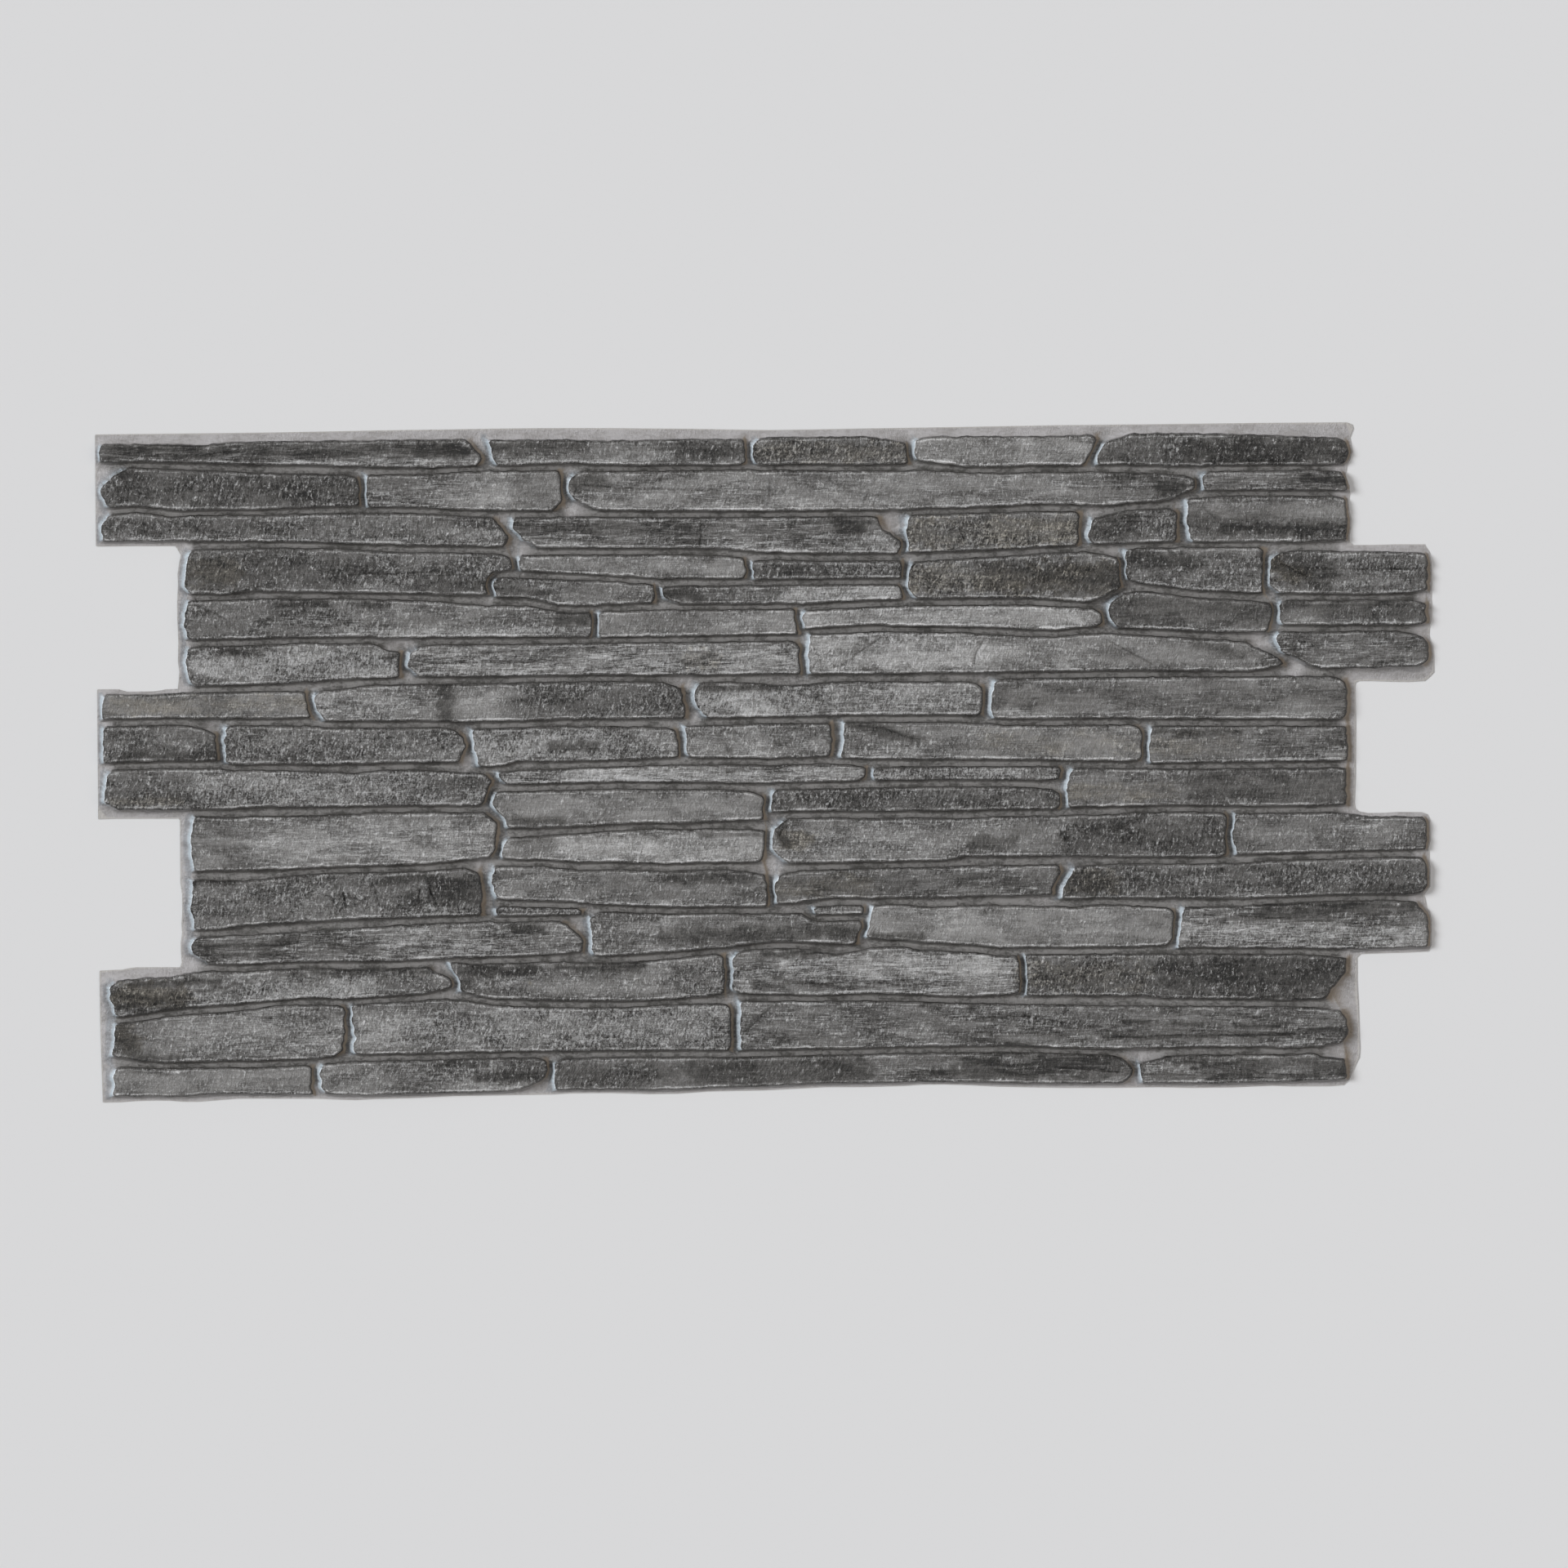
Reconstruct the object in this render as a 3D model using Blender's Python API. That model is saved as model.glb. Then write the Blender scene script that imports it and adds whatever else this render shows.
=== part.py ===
"""A faux stone wall panel: one sheet of plastic, vacuum formed to look like dry-laid slate.

The sheet lies on its back. Its joints and its rim are flat and touch the floor, and each stone is a
hollow blister that stands up from them, so the back is the front turned inside out. Three teeth on
the left side fit the three gaps that the right side of the next panel leaves.

Metres, +Z out of the face, +X along the length and +Y up the wall. The origin is at the middle of
the back.
"""

import bpy
import bmesh
import numpy as np
from mathutils import Vector
from mathutils.geometry import delaunay_2d_cdt

# Driving sizes, in metres
BODY_LENGTH = 0.860  # between the left notches and the right notch
TOOTH_DEPTH = 0.060  # how far a tooth reaches into the next panel
BAND_1_HEIGHT = 0.0874  # the five bands of stones, from the top down, each as high as its tooth
BAND_2_HEIGHT = 0.104
BAND_3_HEIGHT = 0.0955
BAND_4_HEIGHT = 0.1065
BAND_5_HEIGHT = 0.1006
SHEET_THICKNESS = 0.0004
STONE_RISE = 0.0050  # of a middling stone above the joints
RISE_STEP = 0.0004  # from one of the five stone heights to the next
WALL_RUN = 0.0012  # how far a stone's wall leans out, from its edge down to its foot
EDGE_ROUND = 0.0008  # the softened edge round the top of each stone

# The panel is drawn on a grid of millimetres, x from the tips of the left teeth and y down from the
# top right corner, which the top edge bows above. The grid's stations below lie where the teeth and
# the bands end, and the driving sizes say how far apart they are on the panel.
GRID_X = (0, 60, 920, 980)
GRID_Y = (-2.4, 85, 189, 284.5, 391, 491.6)
STATION_X = np.cumsum([0, TOOTH_DEPTH, BODY_LENGTH, TOOTH_DEPTH])
STATION_Y = np.cumsum([0, BAND_1_HEIGHT, BAND_2_HEIGHT, BAND_3_HEIGHT, BAND_4_HEIGHT, BAND_5_HEIGHT])

SHORTEST_MITRE = 0.6  # keeps the corner of an offset outline from running away at a sharp point
HEIGHT_ORDER = (2, 4, 1, 3, 0, 3, 1, 2, 4, 0, 2)  # which of the five heights each stone takes in turn
MIDDLE_HEIGHT = 2
SAME_POINT = 1e-7  # closer than this, two points of the sheet would be one

STONE_GREY = (0.125, 0.119, 0.107, 1.0)
STONE_ROUGHNESS = 0.55

# The trimmed edge of the sheet, clockwise from the top left corner. It bows along the top, waves a
# little where the sheet was cut along the rim, and its bottom right corner is clipped.
RIM = (
    (0, 0), (0.6, -0.9), (60, -1), (131, -1.1), (174, -1.5), (217, -1.9), (261, -2.1), (304, -2.4),
    (332, -2.3), (376, -1.9), (404, -1.3), (433, -0.8), (462, 0), (491, 0.7), (519, 0.6), (562, 0.2),
    (606, 0), (649, -0.3), (706, -0.8), (764, -0.8), (850, -1), (915, -0.8),
    (918.6, 0.8), (919.6, 3.6), (917, 10.5), (918.2, 16), (919.4, 21), (917.6, 26.8), (914.8, 31.8),
    (914.2, 36), (914.9, 40), (917.4, 46), (917.6, 50.5), (916.6, 54), (916.4, 57), (917.4, 65),
    (918.6, 70), (918.6, 77), (917.4, 83), (917.6, 87.5), (919.8, 89.6),
    (934, 89.8), (950, 89.5), (972.6, 89.7), (973.4, 91.6), (976.2, 95.6), (978, 103), (978.5, 119),
    (977.5, 129.5), (978.5, 137), (978.3, 146), (976.4, 151.8), (976.2, 157), (977.5, 161),
    (979.2, 164.8), (980, 172), (980, 184.4), (976.4, 188.1), (973.2, 190.7), (961, 191.3),
    (949, 191), (934, 190.3), (924.6, 190.2), (922.2, 191.4), (921.8, 194),
    (922.4, 215), (922.4, 262), (921.8, 281), (922.4, 284.5), (925, 286.8), (932, 288.2),
    (945, 288.2), (954, 287.7), (972, 288.1), (975.8, 289.6), (978.1, 294.3), (978.8, 309),
    (977.2, 315), (977.4, 323), (978.7, 328.5), (978.7, 343.5), (975.6, 347.8), (973.8, 350),
    (974.6, 352.5), (975.8, 359), (978.4, 362), (980, 368.4), (980, 387), (977.4, 391.7),
    (962, 392.3), (943, 392.6), (927, 393), (924.4, 395.4),
    (924.6, 414), (925.6, 430), (926.4, 450), (927, 463), (926.6, 470), (924.2, 475), (922, 480.5),
    (919.8, 486.4), (915, 490.6),
    (905, 491.3), (876, 491), (862, 490.3), (833, 491.1), (804, 491.1), (776, 490.2), (747, 490.2),
    (704, 489.7), (661, 488.3), (632, 486.5), (618, 485.9), (603, 485.9), (589, 486.7), (560, 487.1),
    (531, 486.8), (503, 487.9), (488, 488.5), (445, 488.8), (423, 490.1), (402, 490.1), (373, 488.9),
    (344, 488.7), (330, 489.4), (258, 489.6), (229, 490.6), (201, 490.9), (186, 491.6), (172, 490.9),
    (158, 490.1), (114, 489.4), (100, 489.3), (86, 490.2), (71, 491.2), (60, 491), (50, 490.1),
    (40, 489.8), (26, 490), (14, 490.7), (1.7, 490.8),
    (1, 463), (0.3, 431), (0, 394), (0.6, 393.2), (17, 392.7), (22, 391.6), (27, 391.1), (59, 391.5),
    (60.2, 388), (59.6, 380), (59.6, 373), (60.6, 366), (60.2, 359), (60.8, 352), (60.8, 338),
    (59.6, 329), (59.6, 283), (58.6, 281.6), (12, 281.1), (0, 281.4),
    (0, 186.4), (0.6, 185.8), (16, 186), (19, 187), (22, 187.8), (41, 187.8), (46, 187.2), (50, 186.4),
    (58.8, 186.2), (60, 174), (59, 166), (59.4, 152), (58.8, 135), (58.8, 123), (59.4, 110),
    (59.2, 102), (60.2, 95), (61.6, 88), (58.9, 83), (57.4, 81.2), (30, 80.9), (0.6, 80.9), (0, 80.3),
)

# The outline of each stone's edge, clockwise from its upper left, course by course
STONES = (
    # Band 1, first course
    ((3, 9), (6, 6.5), (52, 7), (78, 8.5), (98, 6), (268, 5.5), (272, 9), (280, 19), (277, 24),
     (240, 25.5), (150, 22), (100, 20.8), (50, 19), (3, 18.5)),
    ((287, 6), (345, 6.5), (370, 8), (430, 7), (470, 7.5), (473, 18), (471, 25.7), (385, 25),
     (350, 22.5), (320, 23.5), (292, 24.5), (288, 14)),
    ((479, 13), (482, 8), (485, 6.5), (566, 6.5), (590, 11.5), (591.5, 26), (560, 26.3),
     (520, 25.5), (482, 26), (479, 20)),
    ((598, 9), (605, 7), (700, 7.5), (725, 6.5), (729, 9), (726, 18), (719, 28.5), (690, 27.5),
     (660, 29), (635, 29), (610, 24.5), (598.5, 23), (597, 17)),
    ((737, 12.5), (755, 6.5), (790, 6.5), (850, 8), (905, 11), (912, 13), (915, 20), (914, 27),
     (909, 30), (800, 29.5), (745, 27.5), (731, 28.5), (732, 20)),
    # Second course
    ((16, 28), (24, 22.8), (35, 23.8), (60, 25.3), (90, 26.8), (120, 29), (180, 30.5), (190, 33),
     (191, 40), (190.5, 52), (160, 53), (130, 54.5), (57, 55), (45, 53), (30, 51), (10, 52.3),
     (3, 40), (8, 34.5)),
    ((198, 31), (250, 30), (270, 28.5), (335, 28.6), (337.5, 34), (338.5, 43), (337, 52),
     (332, 58), (310, 57), (275, 57), (225, 54), (198, 54), (196.5, 44)),
    ((343.5, 43), (345.5, 36), (350, 31.5), (357, 29.5), (475, 29.5), (590, 31.5), (640, 33.5),
     (720, 34), (778, 35.5), (795, 37.5), (803, 41), (802, 46), (793, 50), (785, 54), (745, 57),
     (725, 57.5), (690, 56), (640, 58.6), (500, 60), (368, 58), (349, 50)),
    ((809, 37), (813, 34), (880, 33.5), (909, 34.7), (912, 37), (915, 48.5), (870, 48),
     (810, 47.5), (808.5, 42)),
    # Third course
    ((7, 61), (12, 57.3), (30, 56), (44, 57.5), (52, 60), (70, 59), (220, 58.5), (250, 60),
     (288, 63), (292, 68), (299, 77), (296, 82.3), (285, 84), (235, 82.5), (160, 79.5),
     (80, 77), (5, 76.5), (5, 68)),
    ((304, 63.2), (330, 63), (470, 64.3), (565, 64.3), (569, 66.5), (571, 72), (580, 79),
     (586, 83), (586, 88), (583, 91.5), (500, 90.5), (450, 86.5), (400, 86), (323, 84.5),
     (311, 78), (303, 70)),
    ((593, 64), (640, 62.8), (714, 62.5), (716, 65), (716, 87), (660, 89.5), (593, 90.5),
     (592, 77)),
    ((728, 68), (740, 66), (750, 62.5), (785, 61.5), (788, 64), (788, 85.5), (728, 85.5),
     (725, 81)),
    ((797, 55), (825, 52.3), (907, 53), (912, 55), (914, 62), (914, 85), (880, 86), (801, 86),
     (799, 75)),
    # Band 2, first course
    ((70, 84.5), (120, 83), (180, 84.5), (220, 87.5), (290, 89), (301, 93), (303, 100.5),
     (290, 101.5), (284, 107), (283, 113), (285, 119), (260, 118), (190, 117), (120, 114),
     (110, 113.5), (95, 116.5), (68, 116), (65, 110), (67, 88)),
    ((309, 91), (440, 91.5), (470, 94), (473.5, 98), (472.5, 109.5), (400, 108), (350, 104.5),
     (320, 102.5), (309, 101.5), (307, 97)),
    ((478.5, 97), (500, 95.5), (530, 97.5), (586, 97.5), (587, 110), (480, 110), (478, 104)),
    ((289, 111), (292, 107), (310, 107.5), (370, 110), (405, 113), (406, 119), (404, 126),
     (350, 128), (335, 127), (315, 121), (291, 120.5)),
    ((411, 115), (430, 114.4), (583, 114.8), (587, 119), (588, 126), (570, 125.5), (520, 128),
     (425, 127.5), (414, 122)),
    ((596, 99), (650, 96), (700, 92.5), (725, 92.5), (745, 97), (747.5, 100), (747.5, 118),
     (735, 124.5), (722, 129.5), (700, 127), (680, 125), (600, 125.5), (593, 118), (592, 110)),
    ((752.5, 91.5), (760, 90), (850, 90), (852.5, 93), (852, 123.5), (810, 121.5), (770, 117),
     (752.5, 112.5)),
    # Second course
    ((741, 131), (745, 127), (750, 124), (765, 122), (800, 127), (857, 131.5), (860, 136),
     (858, 145), (855, 152), (820, 152), (765, 149.5), (747, 149), (742, 143), (740, 137)),
    ((866, 95), (880, 93.6), (930, 95), (971, 96), (973, 99), (973, 122), (960, 124.5),
     (930, 126), (868, 124), (859, 118), (857.5, 112), (860, 99)),
    ((866, 132), (870, 129.6), (930, 130.2), (960, 130.5), (972, 133), (972, 147), (950, 148.5),
     (868, 147.5), (866, 140)),
    ((866, 153), (950, 153), (970, 158), (975, 162), (975, 172), (970, 178.5), (950, 179),
     (900, 180), (888, 177), (875, 170.5), (868, 168), (864, 158)),
    ((67, 121), (175, 120.8), (225, 122.4), (285, 128), (315, 128.5), (345, 133), (358, 133),
     (362, 142), (358, 151), (290, 150), (200, 149), (66, 149), (64.5, 135)),
    ((367, 132.3), (508, 132), (511, 150.5), (410, 151.5), (366, 151.5), (366, 142)),
    ((517, 133), (580, 131), (640, 130.5), (710, 132.5), (729, 134.7), (734, 138), (733.5, 143),
     (730, 147), (700, 149.5), (650, 147), (580, 145.5), (565, 143.5), (530, 146), (517, 146.5),
     (515, 140)),
    # Third course
    ((67, 156), (110, 155), (145, 153.2), (200, 154.5), (212, 160), (219, 161), (219, 179),
     (180, 179.5), (100, 183.5), (72, 183.5), (68, 180), (65, 166)),
    ((228, 162), (236, 157), (250, 156), (450, 155.5), (505, 155.5), (511, 159), (512, 179.5),
     (320, 179), (235, 178), (227, 171)),
    ((521, 151), (575, 149.5), (640, 151), (675, 154.5), (700, 155), (722, 152.7), (760, 153.7),
     (800, 157), (838, 160), (850, 166), (866, 173), (866, 177), (843, 181.5), (770, 180),
     (521, 179.5), (520, 165)),
    # Band 3, first course
    ((5, 189.7), (100, 189), (150, 189.5), (152, 198), (154, 207.5), (120, 208), (60, 207),
     (4, 207.5), (4, 198)),
    ((163, 189.5), (205, 185), (257, 185), (370, 183.6), (412, 185.5), (424, 190), (428, 206),
     (427, 211), (350, 210.5), (280, 212), (166, 210.5), (158, 197), (159, 192)),
    ((440, 186.5), (460, 185.5), (500, 189.5), (525, 187.5), (550, 186.5), (638, 188), (645, 191),
     (646, 200), (645, 211), (560, 210.5), (446, 211.5), (437, 201), (436, 192)),
    ((657, 187.5), (665, 185.5), (800, 185), (905, 187), (912, 190), (914, 196), (914, 213),
     (911, 217.5), (760, 215), (655, 214.5), (654, 200)),
    # Second course
    ((5, 213), (60, 212.5), (78, 216.5), (85, 220), (84, 228), (87, 238), (60, 238.5), (5, 239),
     (4, 225)),
    ((94, 216), (97, 213.5), (125, 213.5), (180, 216.5), (250, 216), (263, 221), (268, 230),
     (262, 241), (180, 242), (100, 242), (94, 241), (93, 225)),
    ((274, 218.5), (330, 217.3), (415, 219), (420, 221), (424, 236), (423, 240.5), (340, 242.5),
     (305, 241), (296, 245.5), (279, 245.5), (275, 232)),
    ((429, 218), (480, 216.7), (534, 216.7), (535, 230), (534, 240.5), (490, 242), (432, 240),
     (429.5, 236), (431, 228)),
    ((546, 216), (620, 217.5), (690, 220.5), (757, 220.5), (764, 226), (764, 243), (760, 247),
     (650, 244.5), (543, 242.5), (546, 232)),
    ((772, 222), (860, 223), (914, 223.5), (915, 248.5), (771, 249), (770, 236)),
    # Third course
    ((7, 249), (10, 245.7), (50, 244.5), (110, 246), (190, 250), (210, 247.5), (240, 248.5),
     (281, 251), (286, 256), (281, 267), (280, 272), (275, 274), (120, 272.5), (95, 274),
     (15, 273.5), (5, 268)),
    ((293, 250), (340, 248.5), (400, 246.7), (550, 247.5), (560, 250), (560, 256), (555, 259.3),
     (470, 260), (380, 257.5), (300, 259), (294, 256)),
    ((568, 250.5), (600, 250), (702, 250.5), (704, 253), (703, 259.5), (670, 260), (620, 258.5),
     (569, 259), (566.5, 255)),
    ((714, 252.3), (820, 254), (914, 254), (914, 281), (880, 281.5), (760, 280), (712, 280),
     (709, 270), (711, 261)),
    ((290, 265), (360, 263.5), (455, 264.5), (475, 266.5), (485, 271), (485, 286.5), (458, 287.5),
     (430, 288.8), (380, 288.5), (330, 290.5), (300, 290.5), (297, 284), (288, 274)),
    ((495, 265.5), (665, 265), (698, 268.3), (704.5, 272), (702, 282), (540, 281.5),
     (492, 281.5), (493, 272)),
    # Band 4, first course
    ((70, 279.5), (88, 281.5), (190, 280.5), (199, 278.5), (250, 279), (281, 280), (289, 287),
     (290, 293), (288, 300), (289, 307), (285, 312), (235, 316.5), (150, 319), (70, 319.5),
     (67.5, 300)),
    ((301, 299), (325, 298), (375, 295), (411, 293.2), (487, 295.5), (486, 308), (484, 318),
     (415, 319), (360, 316.5), (296, 314), (294, 310), (297, 303)),
    ((503, 287), (535, 286), (550, 288), (600, 287.5), (636, 289), (660, 287), (745, 287.5),
     (755, 285.7), (800, 285), (824, 286.5), (827, 291), (825.5, 317), (820, 318.5), (765, 318),
     (715, 316), (632, 315.5), (620, 319), (505, 319.5), (493, 309), (494, 295)),
    ((834, 287.5), (905, 287.5), (940, 290.8), (970, 291.2), (973.5, 294), (974, 315), (865, 316.5),
     (835, 317), (832, 300)),
    # Second course
    ((69, 327), (108, 328.5), (150, 324), (171, 322.8), (235, 323), (268, 321), (276, 324.5),
     (278, 335), (278, 355), (200, 356), (97, 360.5), (90, 363), (70, 363.5), (68, 345)),
    ((289, 319.5), (325, 319.8), (350, 323.5), (380, 322.7), (412, 325), (445, 323.5), (470, 325.5),
     (486, 328.5), (489, 341), (488, 351), (420, 351), (365, 347.5), (340, 346), (291, 343),
     (287, 330)),
    ((291, 350), (350, 351), (352, 355.5), (320, 356.5), (290, 356.5)),
    ((497, 329), (515, 325.5), (600, 324), (703, 324), (704, 328), (697, 340), (698, 345),
     (620, 345.5), (560, 346.5), (541, 344.5), (515, 348), (497, 349), (495, 338)),
    ((524, 352.5), (559, 352), (560, 357.5), (525, 358)),
    ((716, 325.5), (745, 323.8), (835, 324.5), (875, 322), (955, 320.7), (971, 321), (975, 331),
     (975, 344), (971, 347.5), (850, 349), (706, 348), (708, 340)),
    # Third course
    ((72, 369.5), (120, 368), (180, 365), (258, 361), (337, 360.3), (345, 367), (353, 375),
     (352, 383), (300, 386), (170, 388), (90, 389), (80, 388), (68, 380), (69, 373)),
    ((359, 358), (368, 354.5), (396, 356), (513, 357.5), (523, 363), (557, 363), (558, 367),
     (553, 380), (538, 379), (495, 377.5), (440, 382.6), (365, 386.5), (361.5, 385), (360, 370)),
    ((567, 352), (585, 351.5), (605, 354.5), (650, 353.5), (715, 355.5), (736, 353.5),
     (760, 355.5), (785, 357.5), (787.5, 361), (787.5, 380), (783, 383.5), (750, 385),
     (665, 384), (600, 379), (575, 377.5), (562, 375), (566, 359)),
    ((796, 356.5), (850, 356), (890, 353.5), (950, 352.7), (967, 355.5), (975, 366), (976.5, 380),
     (975, 387), (930, 388), (792, 386), (793, 375)),
    # Band 5, first course
    ((7, 407), (12, 401.5), (37, 399), (52, 399.5), (62, 396.5), (82, 394.7), (95, 395.8),
     (137, 393.7), (157, 392.6), (182, 395.5), (239, 393.7), (244, 397), (256, 402.5),
     (256.5, 407.5), (237, 412.8), (187, 415.8), (153, 414.7), (95, 419), (58, 420.8),
     (33, 425.2), (13, 427.4), (10.5, 420)),
    ((255, 390), (280, 391.7), (318, 391.3), (377, 392.5), (402, 391.7), (427, 388.5),
     (449, 386.2), (455, 388), (457, 408), (456, 415), (435, 418), (405, 420), (382, 420.3),
     (283, 417), (264.5, 411), (264, 405)),
    ((464, 390), (468, 384.7), (477, 383.7), (508, 382.6), (540, 388.3), (575, 382.6),
     (590, 382.6), (597, 385.3), (648, 388.3), (656, 391), (673, 391.3), (674.5, 405),
     (674, 417.5), (638, 420.3), (567, 416.3), (525, 418.2), (468, 415), (462.5, 411),
     (465, 400)),
    ((679, 390), (807, 391.3), (882, 392.5), (915, 396), (914, 407), (903, 419), (901, 425),
     (868, 426.6), (845, 425), (785, 423), (765, 421), (680, 420), (681, 405)),
    # Second course
    ((12, 431.8), (28, 430.6), (48, 427.6), (78, 426), (112, 423), (132, 420.4), (174, 420.5),
     (179, 425), (177, 442.5), (176, 454), (171, 458.7), (145, 460.3), (45, 461.4), (25, 459),
     (10, 455.5), (11, 440)),
    ((183.5, 426), (185, 421.5), (190, 420), (228, 419), (252, 417.2), (302, 423.7), (365, 425.6),
     (427, 423.4), (458, 424), (461.5, 428), (460.5, 457.5), (335, 456.3), (285, 456.8),
     (189, 457.5), (186, 455), (187.5, 445)),
    ((470, 421.9), (542, 422.5), (600, 423.9), (658, 426.7), (745, 429.3), (857, 430.5),
     (882, 431.3), (898, 433.3), (911, 435), (915, 442), (916, 452), (913, 457.5), (898, 460.3),
     (873, 461.7), (857, 460), (786, 459.2), (738, 460.4), (708, 459.8), (667, 456.7),
     (592, 456.3), (550, 457.5), (470, 457.5)),
    # Third course
    ((10, 468), (13, 465), (62, 466), (112, 466.2), (150, 465.6), (153.5, 468), (153, 480),
     (154, 486.2), (120, 485.3), (90, 484.2), (62, 486), (20, 485.2), (10, 485.2)),
    ((161, 467), (164, 463.6), (212, 462.3), (302, 461.3), (322, 461.8), (326.5, 466), (326.5, 471),
     (325, 475.3), (315, 482), (298, 485.3), (280, 486.6), (178, 486.6), (164, 485), (161.5, 478)),
    ((332, 466.5), (342, 462.7), (380, 462), (468, 463.8), (550, 462.8), (670, 462.7), (740, 465),
     (748, 468), (759, 476), (758, 479.5), (750, 486), (675, 485), (600, 483.3), (522, 483.3),
     (418, 486.6), (334, 485.8), (333, 475)),
    ((763.5, 471.5), (776, 470), (786, 466.7), (860, 467.5), (892, 466.2), (899, 470),
     (914, 470.8), (916, 485), (865, 486.4), (818, 486.6), (766, 486), (764, 478)),
)


def on_panel(point):
    """A point of the drawing as a point of the panel, in metres right of and above its top left."""
    x, y = point
    return Vector((np.interp(x, GRID_X, STATION_X), -np.interp(y, GRID_Y, STATION_Y)))


def placed_loop(points, middle):
    """A drawn outline on the panel, with the panel's middle as origin, anticlockwise from above."""
    return [on_panel(point) - middle for point in reversed(points)]


def panel_middle():
    """The middle of the panel's box, in metres right of and above its top left."""
    corners = np.array([on_panel(point) for point in RIM])
    return Vector((corners.min(axis=0) + corners.max(axis=0)) / 2)


def moved_out(loop, distance):
    """The loop with each side moved outwards by a distance, or inwards where it is negative."""
    moved = []
    for before, here, after in zip(loop[-1:] + loop[:-1], loop, loop[1:] + loop[:1]):
        first, second = (here - before).normalized(), (after - here).normalized()
        square = Vector((first.y + second.y, -first.x - second.x))
        moved.append(here + square * distance / max(1 + first.dot(second), SHORTEST_MITRE))
    return moved


def stone_rise(index):
    """How high the top of a stone stands above the joints."""
    level = HEIGHT_ORDER[index % len(HEIGHT_ORDER)] - MIDDLE_HEIGHT
    return STONE_RISE + level * RISE_STEP


def add_ring(mesh, loop, height):
    """One closed row of vertices at a height."""
    return [mesh.verts.new((point.x, point.y, height)) for point in loop]


def join_rings(mesh, lower, upper):
    """A band of faces between two rings of as many vertices, facing away from the rings' middle."""
    for i in range(len(lower)):
        j = (i + 1) % len(lower)
        mesh.faces.new((lower[i], lower[j], upper[j], upper[i]))


def fill_between(mesh, rim, holes, faces_up):
    """The flat web of the sheet inside the rim and round every hole, in triangles."""
    rings = [rim] + holes
    corners = [vertex for ring in rings for vertex in ring]
    starts = np.cumsum([0] + [len(ring) for ring in rings])
    loops = [list(range(start, start + len(ring))) for start, ring in zip(starts, rings)]
    flat = [vertex.co.to_2d() for vertex in corners]
    _, _, triangles, sources, _, inside = delaunay_2d_cdt(flat, [], loops, 0, SAME_POINT)
    for triangle, loops_round_it in zip(triangles, inside):
        if loops_round_it != [0]:
            continue
        ring = [corners[sources[i][0]] for i in triangle]
        mesh.faces.new(ring if faces_up else reversed(ring))


def build_sheet():
    """The formed sheet as one closed mesh: the face, the back and the cut edge between them."""
    mesh = bmesh.new()
    middle = panel_middle()
    rim = placed_loop(RIM, middle)
    front_rim = add_ring(mesh, rim, SHEET_THICKNESS)
    back_rim = add_ring(mesh, rim, 0)
    join_rings(mesh, back_rim, front_rim)
    front_feet, back_feet = [], []
    for index, points in enumerate(STONES):
        edge = placed_loop(points, middle)
        top = moved_out(edge, -EDGE_ROUND)
        rise = stone_rise(index)
        face_height = SHEET_THICKNESS + rise
        foot_ring = add_ring(mesh, moved_out(edge, WALL_RUN), SHEET_THICKNESS)
        edge_ring = add_ring(mesh, edge, face_height - EDGE_ROUND)
        top_ring = add_ring(mesh, top, face_height)
        join_rings(mesh, foot_ring, edge_ring)
        join_rings(mesh, edge_ring, top_ring)
        mesh.faces.new(top_ring)
        mouth_ring = add_ring(mesh, moved_out(edge, WALL_RUN - SHEET_THICKNESS), 0)
        ceiling_ring = add_ring(mesh, top, rise)
        join_rings(mesh, ceiling_ring, mouth_ring)
        mesh.faces.new(reversed(ceiling_ring))
        front_feet.append(foot_ring)
        back_feet.append(mouth_ring)
    fill_between(mesh, front_rim, front_feet, True)
    fill_between(mesh, back_rim, back_feet, False)
    return mesh


def stone_print():
    """The printed face of the sheet, in the mean grey of its stones."""
    material = bpy.data.materials.new("stone_print")
    material.use_nodes = True
    shader = material.node_tree.nodes["Principled BSDF"]
    shader.inputs["Base Color"].default_value = STONE_GREY
    shader.inputs["Roughness"].default_value = STONE_ROUGHNESS
    shader.inputs["Metallic"].default_value = 0
    return material


def main():
    for leftover in list(bpy.data.objects):
        bpy.data.objects.remove(leftover, do_unlink=True)
    mesh = build_sheet()
    data = bpy.data.meshes.new("panel_sheet")
    mesh.to_mesh(data)
    mesh.free()
    data.materials.append(stone_print())
    sheet = bpy.data.objects.new("panel_sheet", data)
    bpy.context.scene.collection.objects.link(sheet)


main()
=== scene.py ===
"""A faux stone wall panel: one thin sheet of plastic, formed and printed like dry-laid slate.

The sheet lies on its back on a pale floor, and the camera looks down on its face. The outline of the
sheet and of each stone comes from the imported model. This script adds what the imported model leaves
out: the split and pitted faces of the stones, their cracks and ledges, and the print.

Sizes are in millimetres until a mesh is made, apart from the studio's, which are in metres.
"""

import logging
import math
from dataclasses import dataclass, field, replace
from enum import Enum

import bpy
import numpy as np
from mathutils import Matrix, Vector
from mathutils.geometry import delaunay_2d_cdt
from mathutils.kdtree import KDTree


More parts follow.
